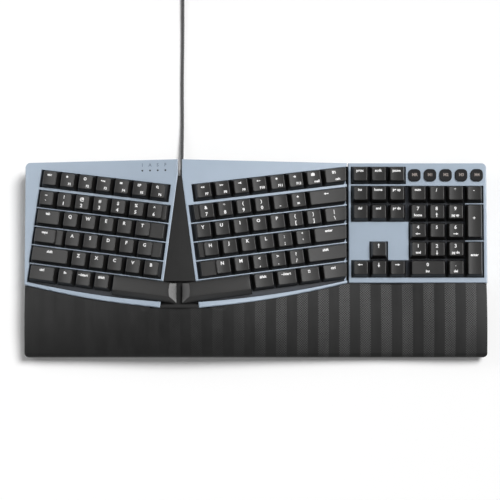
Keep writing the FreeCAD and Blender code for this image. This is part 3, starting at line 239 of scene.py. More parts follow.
def smooth_group():
    """Modifier that shades a CAD surface smooth and keeps its edges sharp."""
    group = bpy.data.node_groups.new("smooth by angle", "GeometryNodeTree")
    group.interface.new_socket(name="Geometry", in_out="INPUT", socket_type="NodeSocketGeometry")
    group.interface.new_socket(name="Geometry", in_out="OUTPUT", socket_type="NodeSocketGeometry")
    entry, leave = group.nodes.new("NodeGroupInput"), group.nodes.new("NodeGroupOutput")
    faces = group.nodes.new("GeometryNodeSetShadeSmooth")
    faces.domain = "FACE"
    faces.inputs["Shade Smooth"].default_value = True
    edges = group.nodes.new("GeometryNodeSetShadeSmooth")
    edges.domain = "EDGE"
    angle = group.nodes.new("GeometryNodeInputMeshEdgeAngle")
    flat = group.nodes.new("ShaderNodeMath")
    flat.operation = "LESS_THAN"
    flat.inputs[1].default_value = SHARP_ANGLE
    group.links.new(entry.outputs[0], faces.inputs["Geometry"])
    group.links.new(faces.outputs[0], edges.inputs["Geometry"])
    group.links.new(angle.outputs[0], flat.inputs[0])
    group.links.new(flat.outputs[0], edges.inputs["Shade Smooth"])
    group.links.new(edges.outputs[0], leave.inputs[0])
    return group


smooth_by_angle = smooth_group()


def finish(names, material):
    """Give CAD pieces their finish: the facets are welded and shaded smooth."""
    for name in names:
        piece = nodes[name]
        piece.data.materials.clear()
        piece.data.materials.append(material)
        weld = piece.modifiers.new("weld", "WELD")
        weld.merge_threshold = 1e-6
        smooth = piece.modifiers.new("smooth", "NODES")
        smooth.node_group = smooth_by_angle


blue_grey = moulded("blue-grey cover plastic", (0.335, 0.405, 0.49), 0.4, grain=0.0005, depth=0.12,
                    patch=0.02)
finish(["left_top_cover", "right_top_cover", "numpad_top_cover"], blue_grey)

# Key decks and what lies under them: dark plastic plates with a chimney for each key's stem, the
# dome sheets, the printed film circuit and the controller board.

deck_plastic = moulded("deck plastic", (0.010, 0.014, 0.022), 0.6)
finish(["left_key_deck", "right_key_deck", "numpad_key_deck"], deck_plastic)
finish(["dome_sheets"], moulded("dome silicone", (0.55, 0.55, 0.52), 0.45, grain=0.001))
finish(["membrane_circuit"],
       moulded("printed film", (0.62, 0.65, 0.62), 0.3, grain=0.003, patch=0.12))
finish(["controller_board"],
       moulded("solder mask", (0.04, 0.22, 0.09), 0.35, grain=0.002, patch=0.2))

# Key caps: hollow, tapered caps of satin black plastic with a dished top, each on a square stem.
# Their letters are printed in white. Neighbours in a row ride on one slide. The sizes of a cap are
# in millimetres, and each row stands in its block's plane on the tilted deck.

KEY_PITCH = 19.05
KEY_GAP = 1.05
CAP_DEPTH = 17.4
CAP_HEIGHT = 7.0
CAP_RIM = -0.5
DISH = 0.5
WIDE_CAP = 30
# how far the sides, the front and the rear lean in over a cap's height
SIDE, FORE, AFT = 2.2, 2.9, 1.0
SEAM_SIDE = 0.25
CAP_WALL = 1.3
HOLLOW_LEAN = 1.6
HOLLOW_ROOF = 1.6
LOOKS_UP = 0.85
STEM_WIDTH, STEM_DEPTH = 5, 4
STEM_REACH = 3.5
STEM_TOP = CAP_HEIGHT - 1.2
# the low step beside the raised part of some wide keys
LOW_HEIGHT = 4.4
LOW_OVERLAP, LOW_INSET = 5, 0.12
PRINT_LIFT, PRINT_THICKNESS = 0.03, 0.02
FUNCTION_ROW_GAPS = {"left": 1.5, "right": 1.5, "numpad": 0.6}
SEAM_REACH = 271.74
TENT = math.radians(11.02)
REAR_TILT = math.radians(2.2)
ROW_ANGLE = math.radians(7.7)
RIDGE_X, SEAM_X, SEAM_HEIGHT = -0.0766, 0.0939, 0.019
deck = Matrix.Translation((0, 0, SEAM_HEIGHT)) @ Matrix.Rotation(REAR_TILT, 4, "X")
ridge = deck @ Matrix.Translation((RIDGE_X, 0, (SEAM_X - RIDGE_X) * math.tan(TENT)))
planes = {"left": ridge @ Matrix.Rotation(-TENT, 4, "Y"),
          "right": ridge @ Matrix.Rotation(TENT, 4, "Y"),
          "numpad": deck @ Matrix.Translation((SEAM_X, 0, 0))}
block_corners = {"left": (-0.1572, -0.0134), "right": (-0.1011, -0.0483),
                 "numpad": (0.0717, -0.0096)}
block_turns = {"left": -ROW_ANGLE, "right": ROW_ANGLE, "numpad": 0}
blocks = {side: planes[side] @ Matrix.Translation((*block_corners[side], 0))
          @ Matrix.Rotation(block_turns[side], 4, "Z") for side in planes}


def only(made, kind):
    """Of what an operator made, the vertices or the edges."""
    return [part for part in made if isinstance(part, kind)]


def cap_shell(top, base, columns=8, rows=1, corner=1.2, edge=0.55, height=CAP_HEIGHT):
    """Closed shell of a cap: its top face, the skirt down to the rim, and the hollow inside."""
    bm = bmesh.new()
    bmesh.ops.create_grid(bm, x_segments=columns, y_segments=rows, size=0.5)
    spots, corners = {}, []
    for v in bm.verts:
        u, w = v.co.x + 0.5, v.co.y + 0.5
        v.co = top(u, w)
        spots[v.co.to_tuple(3)] = (u, w)
        if min(u, 1 - u) < 0.01 and min(w, 1 - w) < 0.01:
            corners.append(v)
    boundary = [e for e in bm.edges if e.is_boundary]
    skirt = only(bmesh.ops.extrude_edge_only(bm, edges=boundary)["geom"], bmesh.types.BMVert)
    for v in skirt:
        v.co = base(*spots[v.co.to_tuple(3)])
    bmesh.ops.recalc_face_normals(bm, faces=bm.faces)
    uprights = [e for v in corners for e in v.link_edges if e.other_vert(v) in skirt]
    bmesh.ops.bevel(bm, geom=uprights, offset=corner, segments=3, affect="EDGES", profile=0.5,
                    material=-1)
    bm.normal_update()
    # the ring round the top is where a face that looks up meets one that doesn't
    ring = [e for e in bm.edges if len(e.link_faces) == 2
            and len({f.normal.z > LOOKS_UP for f in e.link_faces}) == 2]
    bmesh.ops.bevel(bm, geom=ring, offset=edge, segments=2, affect="EDGES", profile=0.5,
                    material=-1)
    # the wall's foot comes first, then the hollow's leaning sides up to its roof
    rim = [e for e in bm.edges if e.is_boundary]
    low = [min(v.co[axis] for v in bm.verts) for axis in (0, 1)]
    high = [max(v.co[axis] for v in bm.verts) for axis in (0, 1)]
    middle = Vector(((low[0] + high[0]) / 2, (low[1] + high[1]) / 2, 0))
    for inset, lift in ((CAP_WALL, 0), (HOLLOW_LEAN, height - HOLLOW_ROOF)):
        made = bmesh.ops.extrude_edge_only(bm, edges=rim)["geom"]
        rim = only(made, bmesh.types.BMEdge)
        for v in only(made, bmesh.types.BMVert):
            for axis in (0, 1):
                v.co[axis] -= (v.co[axis] - middle[axis]) / ((high[axis] - low[axis]) / 2) * inset
            v.co.z += lift
    bmesh.ops.contextual_create(bm, geom=rim)
    bmesh.ops.recalc_face_normals(bm, faces=bm.faces)
    return bm


def blend(first, second, share):
    """Place on the way from the first to the second."""
    return first + (second - first) * share


def tapered_cap(left, right, front, rear, height=CAP_HEIGHT, dish=DISH, slant=None):
    """Cap over a cell; with a slant its right end is cut square to the seam."""
    share = height / CAP_HEIGHT
    lean = 0 if slant is None else slant
    right_inset = SIDE * share if slant is None else SEAM_SIDE

    def top(u, w):
        y = blend(front + FORE * share, rear - AFT * share, w)
        x = blend(left + SIDE * share, right - right_inset + lean * y, u)
        return Vector((x, y, height - dish * (1 - (2 * u - 1) ** 2)))

    def base(u, w):
        y = blend(front, rear, w)
        return Vector((blend(left, right + lean * y, u), y, 0))

    return cap_shell(top, base, columns=12 if right - left > WIDE_CAP else 8, height=height)


def add_stem(bm, x):
    """Square stem that runs in the deck's chimney."""
    tall = STEM_REACH + STEM_TOP
    block = Matrix.Diagonal((STEM_WIDTH, STEM_DEPTH, tall, 1))
    place = Matrix.Translation((x, 0, tall / 2 - STEM_REACH))
    bmesh.ops.create_cube(bm, size=1, matrix=place @ block)


def join(into, bm, move):
    """Put one shape, in millimetres, into the mesh that gathers a row or its print."""
    bmesh.ops.transform(bm, matrix=move @ Matrix.Scale(0.001, 4), verts=bm.verts)
    part = bpy.data.meshes.new("part")
    bm.to_mesh(part)
    bm.free()
    into.from_mesh(part)
    bpy.data.meshes.remove(part)


def make_piece(name, bm, material, body, sharp=38):
    """Object of a finished mesh, riding on its body."""
    mesh = bpy.data.meshes.new(name)
    for face in bm.faces:
        face.smooth = True
    bm.to_mesh(mesh)
    bm.free()
    mesh.set_sharp_from_angle(angle=math.radians(sharp))
    mesh.materials.append(material)
    piece = bpy.data.objects.new(name, mesh)
    bpy.context.scene.collection.objects.link(piece)
    flats = piece.modifiers.new("flats", "WEIGHTED_NORMAL")
    flats.keep_sharp = True
    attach(piece, body)
    return piece


cap_plastic = moulded("key cap plastic", (0.0105, 0.0102, 0.01), 0.34, grain=0.0003, depth=0.08,
                      patch=0.1, shine=0.3)
print_white = moulded("white print", (0.86, 0.86, 0.86), 0.5, grain=0.0002, depth=0.02, patch=0.02)


def letters(text, size, bold=0.00015):
    """Printed letters as a thin mesh in millimetres, centred; bold fattens the strokes."""
    words = bpy.data.curves.new("letters", "FONT")
    words.body = text
    words.size = size * 0.001
    words.align_x = "CENTER"
    words.align_y = "CENTER"
    words.offset = bold
    words.extrude = PRINT_THICKNESS / 2 * 0.001
    words.resolution_u = 2
    holder = bpy.data.objects.new("letters", words)
    mesh = bpy.data.meshes.new_from_object(holder)
    bm = bmesh.new()
    bm.from_mesh(mesh)
    bpy.data.objects.remove(holder)
    bpy.data.curves.remove(words)
    bpy.data.meshes.remove(mesh)
    bmesh.ops.remove_doubles(bm, verts=bm.verts, dist=1e-7)
    bmesh.ops.scale(bm, vec=(1000, 1000, 1000), verts=bm.verts)
    return bm


def stamp(bm, sides, x, y, size, turn=0.0, stretch=(1, 1), hole=0.0):
    """Printed dot, triangle or square of an icon; with a hole it is a ring or a frame."""
    made = bmesh.ops.create_circle(bm, cap_ends=True, segments=sides, radius=size)["verts"]
    faces = list({f for v in made for f in v.link_faces})
    if hole:
        inner = bmesh.ops.inset_region(bm, faces=faces, thickness=size * (1 - hole),
                                       use_even_offset=True, use_boundary=True)
        made += [v for f in inner["faces"] for v in f.verts]
        bmesh.ops.delete(bm, geom=faces, context="FACES_ONLY")
        faces = inner["faces"]
    made = list({v for v in made if v.is_valid})
    place = Matrix.Translation((x, y, -PRINT_THICKNESS / 2)) @ Matrix.Diagonal((*stretch, 1, 1))
    bmesh.ops.transform(bm, verts=made, matrix=place @ Matrix.Rotation(math.radians(turn), 4, "Z"))
    upper = only(bmesh.ops.extrude_face_region(bm, geom=faces)["geom"], bmesh.types.BMVert)
    bmesh.ops.translate(bm, vec=(0, 0, PRINT_THICKNESS), verts=upper)


# the marks of each icon, as stamp takes them: sides, x, y, size, turn, stretch and hole
ICONS = {
    "dot": [(16, 0, 0, 1.1)],
    "ring": [(16, 0, 0, 1.6, 0, (1, 1), 0.5)],
    "bars": [(4, -1.6, 0.2, 0.8, 45), (4, 0, 0, 0.9, 45), (4, 1.6, -0.2, 1.0, 45)],
    "sheet": [(4, 0, 0, 1.5, 45, (1.3, 0.9))],
    "frame": [(4, -0.4, 0, 1.7, 45, (1.1, 1), 0.6), (4, 1.2, 0.6, 0.9, 20)],
    "lens": [(16, -0.3, 0.4, 1.3, 0, (1, 1), 0.5), (4, 0.9, -0.8, 0.8, 0, (0.9, 0.6))],
    "back": [(3, -0.9, 0, 1.2, 90), (3, 1.0, 0, 1.2, 90)],
    "forward": [(3, -1.0, 0, 1.2, -90), (3, 0.9, 0, 1.2, -90)],
    "horn": [(3, 0.5, 0, 1.5, 90, (1.3, 0.9)), (4, -1.3, 0, 0.6, 45)],
    "horns": [(3, -0.6, 0, 1.2, 90), (4, 1.1, 0, 0.6, 45), (4, 2.0, 0, 0.4, 45)],
    "kite": [(4, 0.2, 0, 1.3), (4, -1.3, 0, 0.5)],
    "case": [(4, 0, 0, 2.2, 45, (1.25, 0.85)), (4, 0, 1.5, 1.0, 45, (1.2, 0.4))],
    "tally": [(4, -0.7, 0, 2.0, 45, (0.7, 1), 0.5), (16, 1.3, 0.6, 0.7), (16, 1.5, -0.9, 0.6)],
    "arrow_left": [(3, -1.5, 0, 1.5, 90, (1, 0.9)), (4, 0.8, 0, 2.0, 45, (1, 0.3))],
    "arrow_right": [(3, 1.5, 0, 1.5, -90, (1, 0.9)), (4, -0.8, 0, 2.0, 45, (1, 0.3))],
    "arrow_up": [(3, 0, 1.3, 1.5, 0, (0.9, 1)), (4, 0, -0.7, 1.8, 45, (0.34, 1))],
    "arrow_down": [(3, 0, -1.3, 1.5, 180, (0.9, 1)), (4, 0, 0.7, 1.8, 45, (0.34, 1))],
    "menu": [(4, 0, 0, 2.0, 45, (0.8, 1), 0.72), (4, 0, 0.3, 0.8, 45, (1, 0.3))],
}


def icon(name):
    """Icon of one or more stamped marks."""
    bm = bmesh.new()
    for mark in ICONS[name]:
        stamp(bm, *mark)
    return bm


def legend_marks(legend):
    """Prints of a key as (mesh, x, y): one letter, a pair, a word, or an icon and a word."""
    if legend in ICONS:
        return [(icon(legend), -0.5, 3.9)]
    upper, *lower = [word if word in ICONS else word.replace("_", " ") for word in legend.split()]
    if not lower:
        single = len(upper) == 1
        return [(letters(upper, 4.6 if single else 3.6), -0.6, 3.8 if single else 4.3)]
    lower = lower[0]
    if upper in ICONS:
        return [(icon(upper), -0.8, 4.2), (letters(lower, 3.4), 2.6, -3.0)]
    above = (letters(upper, 4.9 if upper.isdigit() else 4.4), -0.6, 3.9)
    if lower in ICONS:
        return [above, (icon(lower), -0.6, -2.7)]
    return [above, (letters(lower, 4.8 if len(lower) == 1 else 3.5), -0.6, -2.7)]


def print_legend(into, legend, move, x, y, half):
    """Lay a key's print on its dished top, which is half wide on each side of its middle."""
    for mark, dx, dy in legend_marks(legend):
        for v in mark.verts:
            bow = min(1, abs(v.co.x + dx) / half)
            v.co = (v.co.x + dx + x, v.co.y + dy + y,
                    v.co.z + CAP_RIM + CAP_HEIGHT - DISH * (1 - bow ** 2) + PRINT_LIFT)
        join(into, mark, move)


def row_place(side, row):
    """Middle line of a row; the function row stands a little apart."""
    gap = FUNCTION_ROW_GAPS[side] if row == 5 else 0
    return row * KEY_PITCH + gap


def seam_end(row):
    """Where a row of the right block ends at the number pad's seam."""
    return (SEAM_REACH + row_place("right", row) * math.sin(ROW_ANGLE)) / math.cos(ROW_ANGLE)


def key_row(node, side, keys, pitch=KEY_PITCH, shift=0.0):
    """Caps and print of one sliding row.

    Each key is (row, left, right, raised left, raised right, legend), in key pitches. Where a key
    is wider than its raised part, a low step runs out beside that. On a half row the cap is two rows
    deep.
    """
    caps, prints = bmesh.new(), bmesh.new()
    for row, left, right, raised_left, raised_right, legend in keys:
        depth = CAP_DEPTH / 2 + (KEY_PITCH / 2 if row % 1 else 0)
        y = row_place(side, row)
        low_left, cap_left = (x * pitch + KEY_GAP / 2 + shift for x in (left, raised_left))
        if right == "seam":
            low_right = cap_right = seam_end(row)
            slant = math.tan(ROW_ANGLE)
        else:
            low_right, cap_right = (x * pitch - KEY_GAP / 2 + shift for x in (right, raised_right))
            slant = None
        middle = (cap_left + cap_right) / 2
        place = blocks[side] @ Matrix.Translation((0, y * 0.001, CAP_RIM * 0.001))
        cap = tapered_cap(cap_left, cap_right, -depth, depth, slant=slant)
        add_stem(cap, middle)
        join(caps, cap, place)
        steps = []
        if low_left < cap_left:
            steps.append((low_left, cap_left + LOW_OVERLAP))
        if cap_right < low_right:
            steps.append((cap_right - LOW_OVERLAP, low_right))
        for start, end in steps:
            low = tapered_cap(start, end, LOW_INSET - depth, depth - LOW_INSET, height=LOW_HEIGHT,
                              dish=0)
            join(caps, low, place)
        print_legend(prints, legend, blocks[side], middle, y, (cap_right - cap_left) / 2 - SIDE)
    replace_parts(make_piece(node + "_caps", caps, cap_plastic, node), node)
    make_piece(node + "_print", prints, print_white, node)


def wide(row, left, right, legend, raised_left=None, raised_right=None):
    """One key of its own width, raised all over unless said otherwise."""
    if raised_left is None:
        raised_left, raised_right = left, right
    return [(row, left, right, raised_left, raised_right, legend)]


def row_of(row, first, legends):
    """Keys of one unit side by side."""
    keys = []
    for n, legend in enumerate(legends):
        keys += wide(row, first + n, first + n + 1, legend)
    return keys


key_row("escape_key", "left", wide(5, 0.03, 1.03, "esc"))
key_row("left_function_keys", "left",
        row_of(5, 1.03, ["dot F1", "ring F2", "bars F3", "sheet F4", "frame F5", "lens F6"]))
key_row("left_number_keys", "left", row_of(4, 0, ["~ `", "! 1", "@ 2", "# 3", "$ 4", "% 5"])
        + wide(4, 6, 7.18, "^ 6", 6, 7))
key_row("tab_key", "left", wide(3, 0, 1.48, "tab"))
key_row("left_upper_letter_keys", "left", row_of(3, 1.48, "QWER")
        + wide(3, 5.48, 7.18, "T", 5.48, 6.48))
key_row("caps_lock_key", "left", wide(2, 0, 1.74, "caps", 0, 1.4))
key_row("left_home_keys", "left", row_of(2, 1.74, "ASDF") + wide(2, 5.74, 7.18, "G", 5.74, 6.74))
key_row("left_shift_key", "left", wide(1, 0, 2.23, "shift"))
key_row("left_lower_letter_keys", "left", row_of(1, 2.23, "ZXCVB"))
key_row("left_modifier_keys", "left", wide(0, 0.04, 1.62, "ctrl") + wide(0, 1.62, 2.63, "fn")
        + wide(0, 2.63, 3.64, "~/start") + wide(0, 3.64, 4.65, "#/alt"))
key_row("right_function_keys", "right",
        row_of(5, 6.8, ["back F7", "forward F8", "horn F9", "horns F10", "dot F11", "kite F12",
                        "case mail"]) + wide(5, 13.8, "seam", "tally calc"))
key_row("right_number_keys", "right", wide(4, 6.58, 7.81, "& 7", 6.81, 7.81)
        + row_of(4, 7.81, ["* 8", "( 9", ") 0", "_ -", "+ ="]))
key_row("backspace_key", "right", wide(4, 12.81, "seam", "arrow_left"))
key_row("right_upper_letter_keys", "right", row_of(3, 6.52, ["Y", "U", "I", "O", "P", "{ [", "} ]"])
        + wide(3, 13.52, "seam", "| \\"))
key_row("right_home_keys", "right", wide(2, 6.56, 7.79, "H", 6.79, 7.79)
        + row_of(2, 7.79, ["J", "K", "L", ": ;", "\" '"]))
key_row("enter_key", "right", wide(2, 12.79, "seam", "enter"))
key_row("right_lower_letter_keys", "right", wide(1, 6.55, 8.3, "N", 7.3, 8.3)
        + row_of(1, 8.3, ["M", "< ,", "> .", "? /"]))
key_row("right_shift_key", "right", wide(1, 12.3, "seam", "shift"))
key_row("right_modifier_keys", "right", wide(0, 9.24, 10.49, "#/alt")
        + wide(0, 10.49, 11.75, "~/start") + wide(0, 11.75, 13.01, "menu")
        + wide(0, 13.01, "seam", "ctrl"))

# Space bars: one for each thumb, of the caps' plastic, crowned from front to rear, with a sloping
# front. The inner ends lean back from the gap between the two halves as bright facets.

BAR_FRONT, BAR_REAR = -11.7, 8.7
BAR_SLOPE = 5.1
BAR_TOP_INSET = 0.85
BAR_CROWN, BAR_CROWN_Y = 34.0, -0.75
BAR_LEAN = math.tan(math.radians(43))
BAR_GAP = 6.2
BAR_FRONT_WALL, BAR_END_WALL = 0.9, 1.8


def space_bar(node, side, outer, stem):
    """Bar from its outer end, on a stem, both in key pitches, to a slanting end at the split."""
    sign = 1 if side == "left" else -1
    slope = -sign * math.tan(ROW_ANGLE)
    outer = outer * KEY_PITCH + sign * KEY_GAP / 2
    inner = (-1000 * block_corners[side][0] - sign * BAR_GAP / 2) / math.cos(ROW_ANGLE)

    def crown(y):
        return CAP_HEIGHT - BAR_CROWN + math.sqrt(BAR_CROWN ** 2 - (y - BAR_CROWN_Y) ** 2)

    def ends(u, y, z):
        return blend(outer + sign * SIDE * z / CAP_HEIGHT, inner + slope * y - sign * BAR_LEAN * z,
                     u if side == "left" else 1 - u)

    def top(u, w):
        y = blend(BAR_FRONT + BAR_SLOPE, BAR_REAR - BAR_TOP_INSET, w)
        return Vector((ends(u, y, crown(y)), y, crown(y)))

    def base(u, w):
        y = blend(BAR_FRONT, BAR_REAR, w)
        return Vector((ends(u, y, 0), y, 0))

    bar = cap_shell(top, base, columns=16, rows=6, corner=0.8, edge=0.5)
    # the hollow's roof stays behind the sloping front and inside the leaning end
    for v in bar.verts:
        if abs(v.co.z - (CAP_HEIGHT - HOLLOW_ROOF)) < 0.01:
            v.co.y = max(v.co.y, BAR_FRONT + BAR_SLOPE + BAR_FRONT_WALL)
            inner_wall = inner + slope * v.co.y - sign * (BAR_LEAN * v.co.z + BAR_END_WALL)
            v.co.x = min(v.co.x, inner_wall) if side == "left" else max(v.co.x, inner_wall)
    add_stem(bar, stem * KEY_PITCH)
    caps = bmesh.new()
    join(caps, bar, blocks[side] @ Matrix.Translation((0, 0, CAP_RIM * 0.001)))
    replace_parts(make_piece(node + "_cap", caps, cap_plastic, node, sharp=30), node)


space_bar("left_space_bar", "left", 4.65, 6.1)
space_bar("right_space_bar", "right", 9.24, 7.3)

# Cursor and edit keys, and the number pad: the same caps in square blocks on the flat cover. The
# cursor block has a slightly smaller pitch, and plus and enter are two rows deep.

NAV_PITCH = 18.7
NAV_X = -40.3
key_row("nav_function_keys", "numpad", row_of(5, -1.5, ["prtsc", "scrlk", "pause"]),
        NAV_PITCH, NAV_X)
key_row("nav_edit_keys", "numpad", row_of(4, -1.5, ["ins", "home", "pg_up"])
        + row_of(3, -1.5, ["del", "end", "pg_dn"]), NAV_PITCH, NAV_X)
key_row("arrow_keys", "numpad", row_of(0, -1.5, ["arrow_left", "arrow_down", "arrow_right"])
        + row_of(1, -0.5, ["arrow_up"]), NAV_PITCH, NAV_X)
key_row("numpad_top_keys", "numpad", row_of(4, -0.5, ["num", "/", "*", "-"]))
key_row("numpad_digit_keys", "numpad", row_of(3, -0.5, ["7 home", "8 arrow_up", "9 pg_up"])
        + row_of(2, -0.5, ["4 arrow_left", "5", "6 arrow_right"])
        + row_of(1, -0.5, ["1 end", "2 arrow_down", "3 pg_dn"]))
key_row("numpad_plus_key", "numpad", wide(2.5, 2.5, 3.5, "+"))
key_row("numpad_enter_key", "numpad", wide(0.5, 2.5, 3.5, "enter"))
key_row("numpad_zero_key", "numpad", wide(0, -0.5, 1.5, "0 ins"))
key_row("numpad_point_key", "numpad", wide(0, 1.5, 2.5, ". del"))

# Macro buttons: five small rounded squares of smoked plastic over the number pad, each with a
# flange under the cover and a dim printed name.

BUTTON_X, BUTTON_Y, BUTTON_PITCH = 0.0684, 0.0864, 0.01593
BUTTON_WIDTH, FLANGE_WIDTH = 12.4, 14.4
BUTTON_LOW, BUTTON_HIGH = -2.3, 2.0
BUTTON_CORNER, BUTTON_EDGE = 4.2, 0.6
BUTTON_RIM, BUTTON_DISH = 2.6, 0.25
FLANGE_DEPTH = 1.0
smoked = moulded("button plastic", (0.010, 0.010, 0.011), 0.4, grain=0.0003, depth=0.06, shine=0.12)
print_grey = moulded("grey print", (0.26, 0.22, 0.2), 0.5, grain=0.0002, depth=0.02)
for number, name in enumerate(["MR", "M1", "M2", "M3", "M4"], start=1):
    node = f"macro_button_{number}"
    along = BUTTON_X + BUTTON_PITCH * (number - 1)
    place = planes["numpad"] @ Matrix.Translation((along, BUTTON_Y, 0))
    button = bmesh.new()
    block = Matrix.Diagonal((BUTTON_WIDTH, BUTTON_WIDTH, BUTTON_HIGH - BUTTON_LOW, 1))
    centred = Matrix.Translation((0, 0, (BUTTON_LOW + BUTTON_HIGH) / 2))
    bmesh.ops.create_cube(button, size=1, matrix=centred @ block)
    uprights = [e for e in button.edges if abs(e.verts[0].co.z - e.verts[1].co.z) > 1]
    bmesh.ops.bevel(button, geom=uprights, offset=BUTTON_CORNER, segments=6, affect="EDGES",
                    profile=0.5, material=-1)
    button.normal_update()
    lid = [f for f in button.faces if f.normal.z > 0.9]
    rims = list(lid[0].edges)
    bmesh.ops.inset_region(button, faces=lid, thickness=BUTTON_RIM)
    bmesh.ops.translate(button, vec=(0, 0, -BUTTON_DISH), verts=lid[0].verts)
    bmesh.ops.bevel(button, geom=rims, offset=BUTTON_EDGE, segments=3, affect="EDGES",
                    profile=0.5, material=-1)
    button.normal_update()
    # the flange is a wider step below the body
    foot = [f for f in button.faces if f.normal.z < -0.9]
    flange = bmesh.ops.extrude_discrete_faces(button, faces=foot)["faces"]
    widening = FLANGE_WIDTH / BUTTON_WIDTH
    bmesh.ops.scale(button, vec=(widening, widening, 1), verts=flange[0].verts)
    flange = bmesh.ops.extrude_discrete_faces(button, faces=flange)["faces"]
    bmesh.ops.translate(button, vec=(0, 0, -FLANGE_DEPTH), verts=flange[0].verts)
    bmesh.ops.recalc_face_normals(button, faces=button.faces)
    moved = bmesh.new()
    join(moved, button, place)
    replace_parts(make_piece(node + "_cap", moved, smoked, node), node)
    words = letters(name, 4.1)
    lid_height = BUTTON_HIGH - BUTTON_DISH + PRINT_LIFT
    bmesh.ops.translate(words, vec=(0.1, 0.3, lid_height), verts=words.verts)
    printed = bmesh.new()
    join(printed, words, place)
    make_piece(node + "_print", printed, print_grey, node)

# Indicator lights: four pipes of smoked clear plastic, flush with the left cover. Behind each one a
# small sign is printed on the cover in a darker slate.

SIGN_X, SIGN_Y, SIGN_PITCH = -38.7, 93.4, 7.95
finish(["indicator_light_guide"], moulded("light guide", (0.03, 0.035, 0.04), 0.25, grain=0.001))
signs = bmesh.new()
for number, sign in enumerate(["1", "A", "S", "F"]):
    mark = letters(sign, 4.6, bold=0.0001)
    bmesh.ops.translate(mark, vec=(SIGN_X + SIGN_PITCH * number, SIGN_Y, 0.02), verts=mark.verts)
    join(signs, mark, planes["left"])
sign_print = moulded("slate print", (0.14, 0.17, 0.22), 0.5, grain=0.0002, depth=0.02)
make_piece("indicator_signs", signs, sign_print, "chassis")

# Centre cover: the black wedge between the two halves, moulded in plastic that is duller than the
# keys'. It fills the split from the notch to the lip and is let down under the space bars.

black_plastic = moulded("black trim plastic", (0.026, 0.026, 0.026), 0.7, shine=0.08)
finish(["centre_cover"], black_plastic)

# Palm rest: one long moulding of dark grey plastic along the front, whose front corners are cut
# round here. Bands of a fine crossed hatch run over it from the lip to the front edge.

BAND_PITCH = 0.02144
BAND_MIDDLE = 0.0042
HATCH_WIDTH, HATCH_DEPTH = 0.0025, 0.0024
FRONT_CORNER, CORNER_CUTS = 0.004, 6


